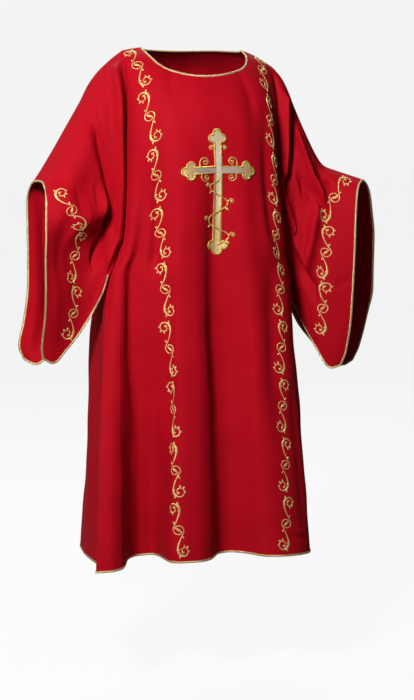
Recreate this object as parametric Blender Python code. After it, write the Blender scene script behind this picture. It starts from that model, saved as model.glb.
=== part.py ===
"""Dalmatic: a wide-sleeved vestment, hanging in the form it takes when it is worn.

Run with: blender --background --python part.py

Frame, in metres: +X to the wearer's left, -Y to the front, +Z up. The origin is the middle
of the neck opening at the height of the shoulder seams, where the wearer's shoulders hold it.

The garment is cut as a front, a back and two sleeves that are open under the arm. Its free
edges are bound with a gold braid. A flat cloth position is given by how far it lies across
the panel and how far down from the shoulder seam, and functions turn it into a place in space.
"""

import math

import bmesh
import bpy
import numpy as np

# --- driving dimensions, in metres -------------------------------------------------------
WALL = 0.002  # thickness of the cloth
SEAM_GAP = 0.0003  # clear space between two pieces that are sewn together
BODY_LENGTH = 1.335  # shoulder seam to hem, measured down the cloth
ARMHOLE_DEPTH = 0.62  # shoulder seam to the top of the side seam, down the cloth
UNDERARM_GAP = 0.020  # the sleeve's lower corners end this far above the side seam
FRONT_NECK_DEPTH = 0.140  # measured down the cloth from the shoulder seam
BACK_NECK_DEPTH = 0.055
NECK_SHARE = 0.73  # share of the shoulder line that the neck opening takes
BRAID_WIDTH = 0.0066
BRAID_THICKNESS = 0.0036
BRAID_GAP = 0.0005  # clear space between a braid and the cut edge it binds
CROSS_TOP_DOWN = 0.280  # shoulder line to the top of the cross, down the cloth
CROSS_HEIGHT = 0.307
CROSS_WIDTH = 0.187
CROSS_BAR_DROP = 0.099  # top of the cross to the middle of its bar
CROSS_SHAFT = 0.0165  # width of the shaft and of the bar
CROSS_BUD = 0.0098  # radius of each of the three buds at an arm's end
CROSS_THICKNESS = 0.0012
CROSS_LIFT = 0.0034  # clear space between the cross and the smooth form of the front

# --- the hang of the body ----------------------------------------------------------------
# One row for each level. "down" is measured down the cloth from the shoulder seam.
# The centre lines: where the middle of the front and of the back hang.
MIDDLE_COLUMNS = ("down", "x", "front_y", "front_z", "back_y", "back_z", "square")
MIDDLES = (
    (0.000, -0.013, 0.000, 0.009, 0.000, 0.009, 1.0),
    (0.050, -0.013, -0.045, -0.012, 0.043, -0.006, 1.0),
    (0.100, -0.012, -0.087, -0.041, 0.084, -0.031, 1.1),
    (0.140, -0.011, -0.118, -0.067, 0.112, -0.059, 1.2),
    (0.200, -0.010, -0.150, -0.116, 0.140, -0.111, 1.4),
    (0.280, -0.004, -0.172, -0.192, 0.158, -0.189, 1.5),
    (0.380, 0.000, -0.180, -0.291, 0.162, -0.289, 1.5),
    (0.480, 0.002, -0.181, -0.391, 0.160, -0.389, 1.5),
    (0.620, 0.003, -0.182, -0.531, 0.161, -0.529, 1.3),
    (1.335, 0.005, -0.186, -1.248, 0.170, -1.250, 1.2),
)
# The side edges: the armhole seam down to the armpit, and below it the side seam. The garment
# is turned a little on its wearer: the right side seam lies forward and the left one back.
SIDE_COLUMNS = ("down", "x", "front_y", "back_y", "z")
RIGHT_SIDE = (
    (0.000, -0.190, 0.000, 0.000, -0.004),
    (0.050, -0.191, -0.035, 0.035, -0.025),
    (0.100, -0.194, -0.056, 0.056, -0.065),
    (0.140, -0.197, -0.064, 0.067, -0.100),
    (0.200, -0.202, -0.069, 0.077, -0.158),
    (0.280, -0.206, -0.071, 0.084, -0.238),
    (0.380, -0.209, -0.071, 0.080, -0.338),
    (0.480, -0.214, -0.070, 0.056, -0.437),
    (0.560, -0.226, -0.070, 0.004, -0.503),
    (0.620, -0.246, -0.072, -0.072, -0.545),
    (1.335, -0.275, -0.110, -0.110, -1.256),
)
LEFT_SIDE = (
    (0.000, 0.172, 0.000, 0.000, -0.026),
    (0.050, 0.182, -0.033, 0.035, -0.047),
    (0.100, 0.188, -0.052, 0.056, -0.087),
    (0.140, 0.188, -0.061, 0.067, -0.122),
    (0.200, 0.187, -0.067, 0.077, -0.178),
    (0.280, 0.187, -0.070, 0.084, -0.257),
    (0.380, 0.191, -0.069, 0.082, -0.354),
    (0.480, 0.200, -0.058, 0.068, -0.449),
    (0.560, 0.213, -0.030, 0.044, -0.522),
    (0.620, 0.232, 0.014, 0.014, -0.574),
    (1.335, 0.268, 0.050, 0.050, -1.268),
)

# --- the folds of the body ---------------------------------------------------------------
# The hem seen from above: where each ridge, hollow and flank of the big folds stands.
# "across" runs over the cloth from -1, the right side seam, to 1, the left side seam.
HEM_COLUMNS = ("across", "x", "y")
FRONT_HEM = (
    (-1.00, -0.326, -0.206),
    (-0.93, -0.292, -0.212),
    (-0.86, -0.259, -0.196),
    (-0.80, -0.240, -0.163),
    (-0.74, -0.222, -0.123),
    (-0.69, -0.204, -0.096),
    (-0.63, -0.176, -0.080),
    (-0.57, -0.146, -0.082),
    (-0.50, -0.133, -0.112),
    (-0.37, -0.128, -0.186),
    (-0.30, -0.100, -0.206),
    (-0.22, -0.060, -0.208),
    (-0.14, -0.026, -0.193),
    (-0.08, -0.005, -0.164),
    (-0.02, 0.014, -0.134),
    (0.04, 0.042, -0.126),
    (0.11, 0.075, -0.148),
    (0.22, 0.117, -0.200),
    (0.29, 0.150, -0.208),
    (0.40, 0.204, -0.196),
    (0.52, 0.248, -0.166),
    (0.64, 0.271, -0.108),
    (0.80, 0.291, -0.015),
    (1.00, 0.275, 0.088),
)
BACK_HEM = (
    (-1.00, -0.326, -0.206),
    (-0.94, -0.310, -0.170),
    (-0.84, -0.281, -0.118),
    (-0.73, -0.276, -0.058),
    (-0.52, -0.274, 0.060),
    (-0.42, -0.262, 0.116),
    (-0.33, -0.235, 0.156),
    (-0.26, -0.195, 0.172),
    (-0.18, -0.152, 0.160),
    (-0.11, -0.112, 0.168),
    (-0.04, -0.078, 0.197),
    (0.02, -0.050, 0.202),
    (0.13, -0.008, 0.180),
    (0.24, 0.036, 0.152),
    (0.34, 0.074, 0.168),
    (0.43, 0.102, 0.195),
    (0.51, 0.136, 0.200),
    (0.60, 0.167, 0.177),
    (0.70, 0.200, 0.146),
    (0.80, 0.237, 0.154),
    (0.90, 0.266, 0.140),
    (1.00, 0.275, 0.088),
)
FOLDS_START = 0.36  # how far down the cloth the hem's folds begin to show
# Small soft folds higher up, each along one line down the cloth. "height" is negative for a
# hollow and "width" is its half width; both are in metres, "across" as above.
SOFT_COLUMNS = ("panel", "across", "width", "height", "from_down", "to_down")
SOFT_FOLDS = (
    ("front", -0.70, 0.028, -0.012, 0.14, 1.00),
    ("front", 0.52, 0.032, -0.010, 0.12, 0.72),
    ("front", 0.35, 0.034, -0.010, 0.52, 1.15),
    ("front", -0.04, 0.050, -0.010, 0.30, 1.05),
    ("front", 0.86, 0.020, -0.010, 0.10, 0.36),
    ("back", -0.68, 0.110, 0.024, 0.56, 1.70),
    ("back", -0.55, 0.080, 0.016, 0.46, 1.00),
    ("back", -0.40, 0.040, -0.012, 0.16, 0.90),
    ("back", 0.04, 0.050, -0.010, 0.14, 0.80),
    ("back", 0.52, 0.040, -0.013, 0.16, 0.90),
)

# --- the hang of the sleeves -------------------------------------------------------------
# "along" runs from the armhole seam (0) to the cuff (1); "fall" from the fold over the arm (0)
# down to the lower corner of a cuff (1).
EDGE_COLUMNS = ("share", "x", "y", "z")
RIGHT_TOP = (
    (0.00, -0.194, 0.000, -0.008),
    (0.09, -0.225, -0.003, -0.030),
    (0.25, -0.269, -0.008, -0.071),
    (0.41, -0.300, -0.015, -0.125),
    (0.61, -0.340, -0.025, -0.190),
    (0.79, -0.376, -0.035, -0.248),
    (1.00, -0.418, -0.045, -0.314),
)
RIGHT_CUFF_FRONT = (
    (0.00, -0.418, -0.045, -0.314),
    (0.04, -0.413, -0.068, -0.316),
    (0.09, -0.412, -0.096, -0.334),
    (0.18, -0.418, -0.128, -0.369),
    (0.33, -0.426, -0.154, -0.439),
    (0.60, -0.423, -0.140, -0.561),
    (0.78, -0.421, -0.116, -0.643),
    (0.93, -0.422, -0.090, -0.715),
    (1.00, -0.417, -0.081, -0.746),
)
RIGHT_CUFF_BACK = (
    (0.00, -0.418, -0.045, -0.314),
    (0.04, -0.424, -0.028, -0.317),
    (0.09, -0.428, -0.010, -0.336),
    (0.18, -0.430, 0.005, -0.372),
    (0.33, -0.428, 0.012, -0.443),
    (0.60, -0.426, 0.020, -0.576),
    (0.78, -0.434, 0.030, -0.664),
    (0.93, -0.446, 0.034, -0.729),
    (1.00, -0.436, 0.028, -0.760),
)
RIGHT_UNDER_FRONT = (
    (0.00, -0.253, -0.092, -0.530),
    (0.08, -0.264, -0.112, -0.552),
    (0.18, -0.275, -0.112, -0.579),
    (0.40, -0.298, -0.094, -0.632),
    (0.60, -0.328, -0.086, -0.683),
    (0.80, -0.363, -0.082, -0.728),
    (0.93, -0.394, -0.080, -0.757),
    (1.00, -0.417, -0.081, -0.746),
)
RIGHT_UNDER_BACK = (
    (0.00, -0.240, -0.030, -0.532),
    (0.15, -0.276, -0.010, -0.580),
    (0.35, -0.302, 0.015, -0.640),
    (0.60, -0.338, 0.020, -0.700),
    (0.80, -0.376, 0.018, -0.742),
    (0.93, -0.412, 0.010, -0.770),
    (1.00, -0.436, 0.028, -0.760),
)
LEFT_TOP = (
    (0.00, 0.172, 0.000, -0.026),
    (0.11, 0.213, 0.000, -0.054),
    (0.24, 0.241, -0.003, -0.099),
    (0.50, 0.286, -0.009, -0.200),
    (0.71, 0.326, -0.018, -0.281),
    (0.76, 0.340, -0.025, -0.297),
    (0.83, 0.361, -0.040, -0.306),
    (1.00, 0.416, -0.085, -0.327),
)
LEFT_CUFF_FRONT = (
    (0.00, 0.416, -0.085, -0.327),
    (0.06, 0.397, -0.105, -0.340),
    (0.12, 0.387, -0.117, -0.365),
    (0.22, 0.381, -0.125, -0.414),
    (0.38, 0.379, -0.126, -0.489),
    (0.60, 0.375, -0.125, -0.603),
    (0.76, 0.372, -0.120, -0.679),
    (0.93, 0.363, -0.110, -0.762),
    (1.00, 0.353, -0.103, -0.794),
)
LEFT_CUFF_BACK = (
    (0.00, 0.416, -0.085, -0.327),
    (0.06, 0.434, -0.066, -0.340),
    (0.12, 0.450, -0.048, -0.365),
    (0.22, 0.466, -0.027, -0.410),
    (0.38, 0.480, -0.009, -0.485),
    (0.60, 0.480, -0.005, -0.608),
    (0.76, 0.462, -0.010, -0.680),
    (0.93, 0.434, -0.022, -0.762),
    (1.00, 0.412, -0.036, -0.792),
)
LEFT_UNDER_FRONT = (
    (0.00, 0.228, -0.004, -0.557),
    (0.12, 0.245, -0.006, -0.592),
    (0.27, 0.258, -0.004, -0.628),
    (0.42, 0.268, -0.028, -0.664),
    (0.54, 0.277, -0.055, -0.700),
    (0.74, 0.298, -0.088, -0.753),
    (0.93, 0.332, -0.100, -0.800),
    (1.00, 0.353, -0.103, -0.794),
)
LEFT_UNDER_BACK = (
    (0.00, 0.228, 0.024, -0.557),
    (0.12, 0.250, 0.048, -0.598),
    (0.27, 0.270, 0.054, -0.642),
    (0.42, 0.289, 0.040, -0.690),
    (0.54, 0.306, 0.016, -0.724),
    (0.74, 0.342, -0.012, -0.770),
    (0.93, 0.386, -0.040, -0.803),
    (1.00, 0.412, -0.036, -0.792),
)
# Folds of the sleeves, each a straight line between two places on the cloth. "fall" is
# negative on the front and positive on the back.
SLEEVE_FOLD_COLUMNS = ("along_a", "fall_a", "along_b", "fall_b", "width", "height")
RIGHT_FOLDS = (
    (0.085, -0.08, 0.085, -0.80, 0.040, 0.024),
    (0.085, -0.80, 0.20, -0.85, 0.055, 0.024),
    (0.44, -0.10, 0.38, -0.18, 0.050, -0.006),
    (0.38, -0.18, 0.33, -0.26, 0.048, -0.013),
    (0.33, -0.26, 0.26, -0.37, 0.046, -0.021),
    (0.26, -0.37, 0.20, -0.50, 0.046, -0.027),
    (0.20, -0.50, 0.18, -0.60, 0.048, -0.032),
    (0.18, -0.60, 0.23, -0.68, 0.052, -0.036),
    (0.23, -0.68, 0.42, -0.72, 0.060, -0.036),
    (0.95, -0.12, 0.80, -0.28, 0.055, 0.014),
    (0.80, -0.28, 0.68, -0.42, 0.065, 0.026),
    (0.68, -0.42, 0.50, -0.51, 0.075, 0.040),
    (0.50, -0.51, 0.30, -0.58, 0.060, 0.034),
    (0.84, -0.50, 0.50, -0.72, 0.120, -0.014),
    (0.20, 0.30, 0.16, 0.85, 0.090, -0.020),
    (0.46, 0.30, 0.42, 0.85, 0.120, 0.018),
    (0.72, 0.32, 0.72, 0.90, 0.110, -0.012),
)
LEFT_FOLDS = (
    (0.025, -0.12, 0.025, -0.95, 0.018, -0.018),
    (0.10, -0.20, 0.10, -0.50, 0.035, 0.018),
    (0.34, -0.08, 0.30, -0.16, 0.038, -0.010),
    (0.30, -0.16, 0.25, -0.27, 0.040, -0.020),
    (0.25, -0.27, 0.155, -0.53, 0.042, -0.024),
    (0.40, -0.10, 0.60, -0.15, 0.036, -0.014),
    (0.60, -0.15, 0.76, -0.13, 0.038, -0.024),
    (0.34, -0.22, 0.60, -0.22, 0.045, 0.014),
    (0.60, -0.22, 0.74, -0.20, 0.045, 0.020),
    (0.40, -0.40, 0.66, -0.28, 0.040, -0.010),
    (0.14, -0.66, 0.52, -0.68, 0.055, 0.018),
    (0.67, -0.32, 0.60, -0.48, 0.050, 0.016),
    (0.60, -0.48, 0.52, -0.68, 0.050, 0.022),
    (0.42, -0.79, 0.60, -0.76, 0.050, -0.016),
    (0.20, 0.30, 0.16, 0.85, 0.090, -0.020),
    (0.48, 0.30, 0.46, 0.85, 0.120, 0.018),
    (0.74, 0.32, 0.72, 0.90, 0.110, -0.012),
)

# --- how finely the pieces are divided ---------------------------------------------------
NECK_COLUMNS = 20  # across the neck opening
SHOULDER_COLUMNS = 8  # from the neck opening to each side edge
SLEEVE_ROWS = 15  # from the shoulder to a lower corner of the sleeve
SKIRT_ROWS = 11  # from the armpit to the hem
SLEEVE_STEPS = (0, 0.05, 0.1, 0.14, 0.17, 0.21, 0.27, 0.34, 0.42, 0.5, 0.59, 0.68, 0.77, 0.85, 0.93, 1)

# --- colours (linear) --------------------------------------------------------------------
RED_CLOTH = (0.46, 0.006, 0.018, 1.0)
GOLD_BRAID = (0.62, 0.42, 0.12, 1.0)
PALE_LAME = (0.78, 0.68, 0.50, 1.0)


# === tables and vectors ==================================================================
def column(table, names, name):
    """One named column of a table, as an array."""
    return np.array([row[names.index(name)] for row in table], float)


def smooth(table, names, key, name, where):
    """The value of a column at places between the rows: a cubic through the rows, no overshoot."""
    x = column(table, names, key)
    y = column(table, names, name)
    where = np.clip(np.asarray(where, float), x[0], x[-1])
    step = np.diff(x)
    slope = np.diff(y) / step
    tangent = np.empty_like(y)
    tangent[0], tangent[-1] = slope[0], slope[-1]
    before, after = slope[:-1], slope[1:]
    weight = step[1:] + 2 * step[:-1], 2 * step[1:] + step[:-1]
    same_way = before * after > 0
    safe_before = np.where(same_way, before, 1.0)
    safe_after = np.where(same_way, after, 1.0)
    mean = (weight[0] + weight[1]) / (weight[0] / safe_before + weight[1] / safe_after)
    tangent[1:-1] = np.where(same_way, mean, 0.0)
    i = np.clip(np.searchsorted(x, where, side="right") - 1, 0, len(x) - 2)
    t = (where - x[i]) / step[i]
    return (
        y[i] * (1 + 2 * t) * (1 - t) ** 2
        + tangent[i] * step[i] * t * (1 - t) ** 2
        + y[i + 1] * t * t * (3 - 2 * t)
        - tangent[i + 1] * step[i] * t * t * (1 - t)
    )


def ease(value, low, high):
    """0 below low, 1 above high, and a smooth rise between them."""
    t = np.clip((np.asarray(value, float) - low) / (high - low), 0, 1)
    return t * t * (3 - 2 * t)


def unit(vectors):
    length = np.linalg.norm(vectors, axis=-1, keepdims=True)
    return vectors / np.maximum(length, 1e-12)


# === the cloth in space ==================================================================
def body_section(front, turn, down):
    """The smooth body cloth. turn goes from -90 degrees, the right edge, to 90, the left."""
    side = "front" if front else "back"
    middle = {
        name: smooth(MIDDLES, MIDDLE_COLUMNS, "down", name, down)
        for name in ("x", side + "_y", side + "_z", "square")
    }
    edge = {}
    for name in ("x", "front_y", "back_y", "z"):
        right = smooth(RIGHT_SIDE, SIDE_COLUMNS, "down", name, down)
        left = smooth(LEFT_SIDE, SIDE_COLUMNS, "down", name, down)
        edge[name] = np.where(turn < 0, right, left)
    edge_y = edge["front_y"] if front else edge["back_y"]
    edge_y = np.where(down > ARMHOLE_DEPTH, edge["front_y"], edge_y)  # one side seam
    bulge = 1 - (1 - np.cos(turn)) ** middle["square"]
    reach = np.abs(np.sin(turn))
    x = middle["x"] + (edge["x"] - middle["x"]) * reach
    y = edge_y + (middle[side + "_y"] - edge_y) * bulge
    z = middle[side + "_z"] + (edge["z"] - middle[side + "_z"]) * reach**3
    return np.stack([x, y, z], axis=-1)


def even_turns(front):
    """For a set of levels, the turns that divide each half of the section evenly."""
    levels = np.linspace(0, BODY_LENGTH, 61)
    quarter = np.linspace(0, math.pi / 2, 91)
    shares = np.linspace(0, 1, 41)
    halves = []
    for sign in (-1, 1):
        down, turn = np.meshgrid(levels, quarter, indexing="ij")
        places = body_section(front, sign * turn + sign * 1e-9, down)
        steps = np.linalg.norm(np.diff(places, axis=1), axis=-1)
        run = np.concatenate([np.zeros((len(levels), 1)), np.cumsum(steps, 1)], axis=1)
        run /= run[:, -1:]
        halves.append(np.array([np.interp(shares, row, quarter) for row in run]))
    return halves


EVEN_TURNS = {}


def turn_at(front, across, down):
    """The turn at a share of the way across the cloth, read between the even turns."""
    if front not in EVEN_TURNS:
        EVEN_TURNS[front] = even_turns(front)
    level = np.clip(down / BODY_LENGTH * 60, 0, 59.999)
    share = np.clip(np.abs(across) * 40, 0, 39.999)
    i, j = level.astype(int), share.astype(int)
    u, v = level - i, share - j

    def read(table):
        upper = table[i, j] * (1 - v) + table[i, j + 1] * v
        lower = table[i + 1, j] * (1 - v) + table[i + 1, j + 1] * v
        return upper * (1 - u) + lower * u

    right, left = EVEN_TURNS[front]
    return np.where(across < 0, -read(right), read(left))


def body_base(front, across, down):
    """The body cloth with the big folds that open towards the hem."""
    smooth_cloth = body_section(front, turn_at(front, across, down), down)
    bottom = np.full_like(down, BODY_LENGTH)
    smooth_hem = body_section(front, turn_at(front, across, bottom), bottom)
    hem = FRONT_HEM if front else BACK_HEM
    opened = np.clip((down - FOLDS_START) / (BODY_LENGTH - FOLDS_START), 0, 1) ** 1.1
    moved = np.zeros_like(smooth_cloth)
    for axis, name in enumerate("xy"):
        at_hem = smooth(hem, HEM_COLUMNS, "across", name, across)
        moved[..., axis] = (at_hem - smooth_hem[..., axis]) * opened
    return smooth_cloth + moved


def body_point(front, across, down):
    """A place on the folded body cloth."""
    across, down = np.broadcast_arrays(
        np.asarray(across, float), np.asarray(down, float)
    )
    base = body_base(front, across, down)
    nudge = 0.01
    run = body_base(front, np.clip(across + nudge, -1, 1), down)
    run = run - body_base(front, np.clip(across - nudge, -1, 1), down)
    outward = np.stack([run[..., 1], -run[..., 0], np.zeros_like(across)], axis=-1)
    outward = unit(outward if front else -outward)
    half_width = 0.24 + 0.27 * np.clip(down / BODY_LENGTH, 0, 1)
    lift = np.zeros_like(across)
    for row in SOFT_FOLDS:
        fold = dict(zip(SOFT_COLUMNS, row))
        if (fold["panel"] == "front") != front:
            continue
        away = (across - fold["across"]) * half_width / fold["width"]
        length = fold["to_down"] - fold["from_down"]
        grown = ease(down, fold["from_down"], fold["from_down"] + 0.4 * length)
        grown = grown * (1 - ease(down, fold["to_down"] - 0.4 * length, fold["to_down"]))
        lift += fold["height"] * grown * np.exp(-(away**2))
    held = 1 - ease(np.abs(across), 0.90, 1.0)
    return base + outward * (lift * held)[..., None]


HALF_WIDTHS = {}


def half_width(front, right, down):
    """The width of cloth from the centre line to a side edge, at a way down the cloth."""
    key = (front, right)
    if key not in HALF_WIDTHS:
        levels = np.linspace(0, BODY_LENGTH, 61)
        down_grid, share = np.meshgrid(levels, np.linspace(0, 1, 121), indexing="ij")
        places = body_point(front, -share if right else share, down_grid)
        steps = np.linalg.norm(np.diff(places, axis=1), axis=-1)
        HALF_WIDTHS[key] = (levels, steps.sum(axis=1))
    return np.interp(down, *HALF_WIDTHS[key])


def cloth_place(front, sideways, down):
    """The place and the normal at metres sideways from the centre line and down the cloth."""
    right, left = half_width(front, True, down), half_width(front, False, down)
    across = sideways / np.where(sideways < 0, right, left)
    nudge = 0.004
    run = body_point(front, across + nudge, down) - body_point(front, across - nudge, down)
    fall = body_point(front, across, down + nudge) - body_point(front, across, down - nudge)
    normal = unit(np.cross(fall, run))
    return body_point(front, across, down), normal if front else -normal


def sleeve_edges(wearer_right):
    if wearer_right:
        return {
            "top": RIGHT_TOP,
            "cuff": {-1: RIGHT_CUFF_FRONT, 1: RIGHT_CUFF_BACK},
            "under": {-1: RIGHT_UNDER_FRONT, 1: RIGHT_UNDER_BACK},
            "folds": RIGHT_FOLDS,
        }
    return {
        "top": LEFT_TOP,
        "cuff": {-1: LEFT_CUFF_FRONT, 1: LEFT_CUFF_BACK},
        "under": {-1: LEFT_UNDER_FRONT, 1: LEFT_UNDER_BACK},
        "folds": LEFT_FOLDS,
    }


def on_edge(table, share):
    """Places along one edge of a sleeve."""
    return np.stack(
        [smooth(table, EDGE_COLUMNS, "share", name, share) for name in "xyz"], axis=-1
    )


def armhole_point(wearer_right, fall):
    """The armhole seam: fall is -1 at its front end, 0 at the shoulder and 1 at its back end."""
    side = -1.0 if wearer_right else 1.0
    down = np.abs(fall) * (ARMHOLE_DEPTH - UNDERARM_GAP)
    front = body_point(True, np.full_like(down, side), down)
    back = body_point(False, np.full_like(down, side), down)
    return np.where((fall < 0)[..., None], front, back)


def sleeve_patch(wearer_right, along, fall):
    """The sleeve cloth before its folds: a patch held by its seam, cuff, top and lower edge."""
    edges = sleeve_edges(wearer_right)
    side = np.where(fall < 0, -1, 1)
    depth = np.abs(fall)
    seam = armhole_point(wearer_right, fall)
    shoulder = armhole_point(wearer_right, np.zeros_like(fall))
    armpit = armhole_point(wearer_right, side * 1.0)
    is_front = (fall < 0)[..., None]
    top = on_edge(edges["top"], along)
    top_start = on_edge(edges["top"], np.zeros_like(along))
    top = top + (shoulder - top_start) * (1 - along)[..., None]
    cuff = np.where(
        is_front, on_edge(edges["cuff"][-1], depth), on_edge(edges["cuff"][1], depth)
    )
    under = np.where(
        is_front, on_edge(edges["under"][-1], along), on_edge(edges["under"][1], along)
    )
    zero = np.zeros_like(along)
    under_start = np.where(
        is_front, on_edge(edges["under"][-1], zero), on_edge(edges["under"][1], zero)
    )
    under = under + (armpit - under_start) * (1 - along)[..., None]
    cuff_top = on_edge(edges["top"], np.ones_like(along))
    one = np.ones_like(along)
    corner = np.where(
        is_front, on_edge(edges["cuff"][-1], one), on_edge(edges["cuff"][1], one)
    )
    a, d = along[..., None], depth[..., None]
    between_ends = seam * (1 - a) + cuff * a
    between_edges = top * (1 - d) + under * d
    corners = (
        (shoulder * (1 - d) + armpit * d) * (1 - a) + (cuff_top * (1 - d) + corner * d) * a
    )
    return between_ends + between_edges - corners


def sleeve_point(wearer_right, along, fall):
    """A place on the folded sleeve cloth."""
    along, fall = np.broadcast_arrays(np.asarray(along, float), np.asarray(fall, float))
    base = sleeve_patch(wearer_right, along, fall)
    nudge = 0.01
    run_along = sleeve_patch(wearer_right, np.clip(along + nudge, 0, 1), fall)
    run_along = run_along - sleeve_patch(wearer_right, np.clip(along - nudge, 0, 1), fall)
    run_down = sleeve_patch(wearer_right, along, np.clip(fall + nudge, -1, 1))
    run_down = run_down - sleeve_patch(wearer_right, along, np.clip(fall - nudge, -1, 1))
    normal = unit(np.cross(run_along, run_down))
    if wearer_right:
        normal = -normal
    raised, sunk = np.zeros_like(along), np.zeros_like(along)
    for row in sleeve_edges(wearer_right)["folds"]:
        fold = dict(zip(SLEEVE_FOLD_COLUMNS, row))
        start = np.array([fold["along_a"], fold["fall_a"]])
        line = np.array([fold["along_b"], fold["fall_b"]]) - start
        here = np.stack([along, fall], axis=-1) - start
        share = np.clip(here @ line / (line @ line), 0, 1)
        away = np.linalg.norm(here - share[..., None] * line, axis=-1)
        height = fold["height"] * np.exp(-((away / fold["width"]) ** 2))
        raised, sunk = np.maximum(raised, height), np.minimum(sunk, height)
    depth = np.abs(fall)
    held = ease(along, 0, 0.07) * ease(depth, 0.02, 0.14) * (1 - 0.9 * ease(depth, 0.7, 0.97))
    return base + normal * ((raised + sunk) * held)[..., None]


# === grids of places =====================================================================
def body_rows():
    """Shares of the body's length at the grid's rows, with one row exactly at the armpit."""
    upper = np.linspace(0, ARMHOLE_DEPTH - UNDERARM_GAP, SLEEVE_ROWS + 1)
    lower = np.linspace(ARMHOLE_DEPTH, BODY_LENGTH, SKIRT_ROWS + 1)
    return np.concatenate([upper, lower]) / BODY_LENGTH


def body_columns():
    """Places across a panel, closer together at the ends of the neck opening."""
    swing = np.linspace(-math.pi / 2, math.pi / 2, NECK_COLUMNS + 1)
    neck = NECK_SHARE * np.sin(swing)
    outer = np.linspace(NECK_SHARE, 1, SHOULDER_COLUMNS + 1)[1:]
    return np.concatenate([-outer[::-1], neck, outer])


def neck_cut(front, across):
    """How far down the cloth the neck opening reaches at a place across the panel."""
    depth = FRONT_NECK_DEPTH if front else BACK_NECK_DEPTH
    inside = np.clip(1 - (across / NECK_SHARE) ** 2, 0, 1)
    return depth * np.sqrt(inside)


def body_down(front, across, share):
    """The way down the cloth of a grid row: under the neck opening the rows even out."""
    return share * BODY_LENGTH + neck_cut(front, across) * (1 - share) ** 4


def body_grid(front):
    share, across = np.meshgrid(body_rows(), body_columns(), indexing="ij")
    return body_point(front, across, body_down(front, across, share))


def sleeve_grid(wearer_right):
    """Rows run from the front lower edge over the arm to the back one, columns to the cuff."""
    fall_steps = np.arange(-SLEEVE_ROWS, SLEEVE_ROWS + 1) / SLEEVE_ROWS
    fall, along = np.meshgrid(fall_steps, SLEEVE_STEPS, indexing="ij")
    return sleeve_point(wearer_right, along, fall)


def grid_normals(grid):
    """Normals of a grid's places, across the rows and then down the columns."""
    down = np.empty_like(grid)
    down[1:-1] = grid[2:] - grid[:-2]
    down[0], down[-1] = grid[1] - grid[0], grid[-1] - grid[-2]
    across = np.empty_like(grid)
    across[:, 1:-1] = grid[:, 2:] - grid[:, :-2]
    across[:, 0], across[:, -1] = grid[:, 1] - grid[:, 0], grid[:, -1] - grid[:, -2]
    normals = unit(np.cross(down, across))
    for row in (0, -1, 0, -1):  # along the first and last row a sharp turn is spread out
        beside = normals[row, :-2] + normals[row, 2:]
        normals[row, 1:-1] = unit(normals[row, 1:-1] + beside / 2)
    return normals


# === solids ==============================================================================
def material(name, colour, roughness, metallic=0.0):
    made = bpy.data.materials.new(name)
    made.use_nodes = True
    shader = made.node_tree.nodes["Principled BSDF"]
    shader.inputs["Base Color"].default_value = colour
    shader.inputs["Roughness"].default_value = roughness
    shader.inputs["Metallic"].default_value = metallic
    made.diffuse_color = colour
    return made


def add_object(name, bm, finish):
    """Makes an object from a bmesh, with its faces pointing out."""
    bmesh.ops.recalc_face_normals(bm, faces=bm.faces)
    mesh = bpy.data.meshes.new(name)
    bm.to_mesh(mesh)
    bm.free()
    mesh.materials.append(finish)
    mesh.shade_smooth()
    mesh.set_sharp_from_angle(angle=math.radians(50))
    made = bpy.data.objects.new(name, mesh)
    bpy.context.scene.collection.objects.link(made)
    return made


def split_rim(bm, a, b, c, d):
    """Two faces between the outer edge a-b and the inner edge d-c of a wall.

    Two pieces that meet split their rims alike, so that no corner of one enters the other.
    """
    rise = b.co - a.co
    if rise.x + 0.4 * rise.y + 2 * rise.z > 0:
        bm.faces.new((a, b, c))
        bm.faces.new((a, c, d))
    else:
        bm.faces.new((a, b, d))
        bm.faces.new((b, c, d))


def cloth_solid(name, outer, inner, finish):
    """A closed wall between two grids of places."""
    rows, columns = outer.shape[:2]
    bm = bmesh.new()
    layers = [
        [[bm.verts.new(grid[i, j]) for j in range(columns)] for i in range(rows)]
        for grid in (outer, inner)
    ]
    for layer in layers:
        for i in range(rows - 1):
            for j in range(columns - 1):
                a, b = layer[i][j], layer[i][j + 1]
                c, d = layer[i + 1][j + 1], layer[i + 1][j]
                bm.faces.new((a, b, c))
                bm.faces.new((a, c, d))
    rim = [(0, j) for j in range(columns - 1)]
    rim += [(i, columns - 1) for i in range(rows - 1)]
    rim += [(rows - 1, j) for j in range(columns - 1, 0, -1)]
    rim += [(i, 0) for i in range(rows - 1, 0, -1)]
    for k, (i, j) in enumerate(rim):
        p, q = rim[(k + 1) % len(rim)]
        split_rim(bm, layers[0][i][j], layers[0][p][q], layers[1][p][q], layers[1][i][j])
    return add_object(name, bm, finish)


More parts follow.
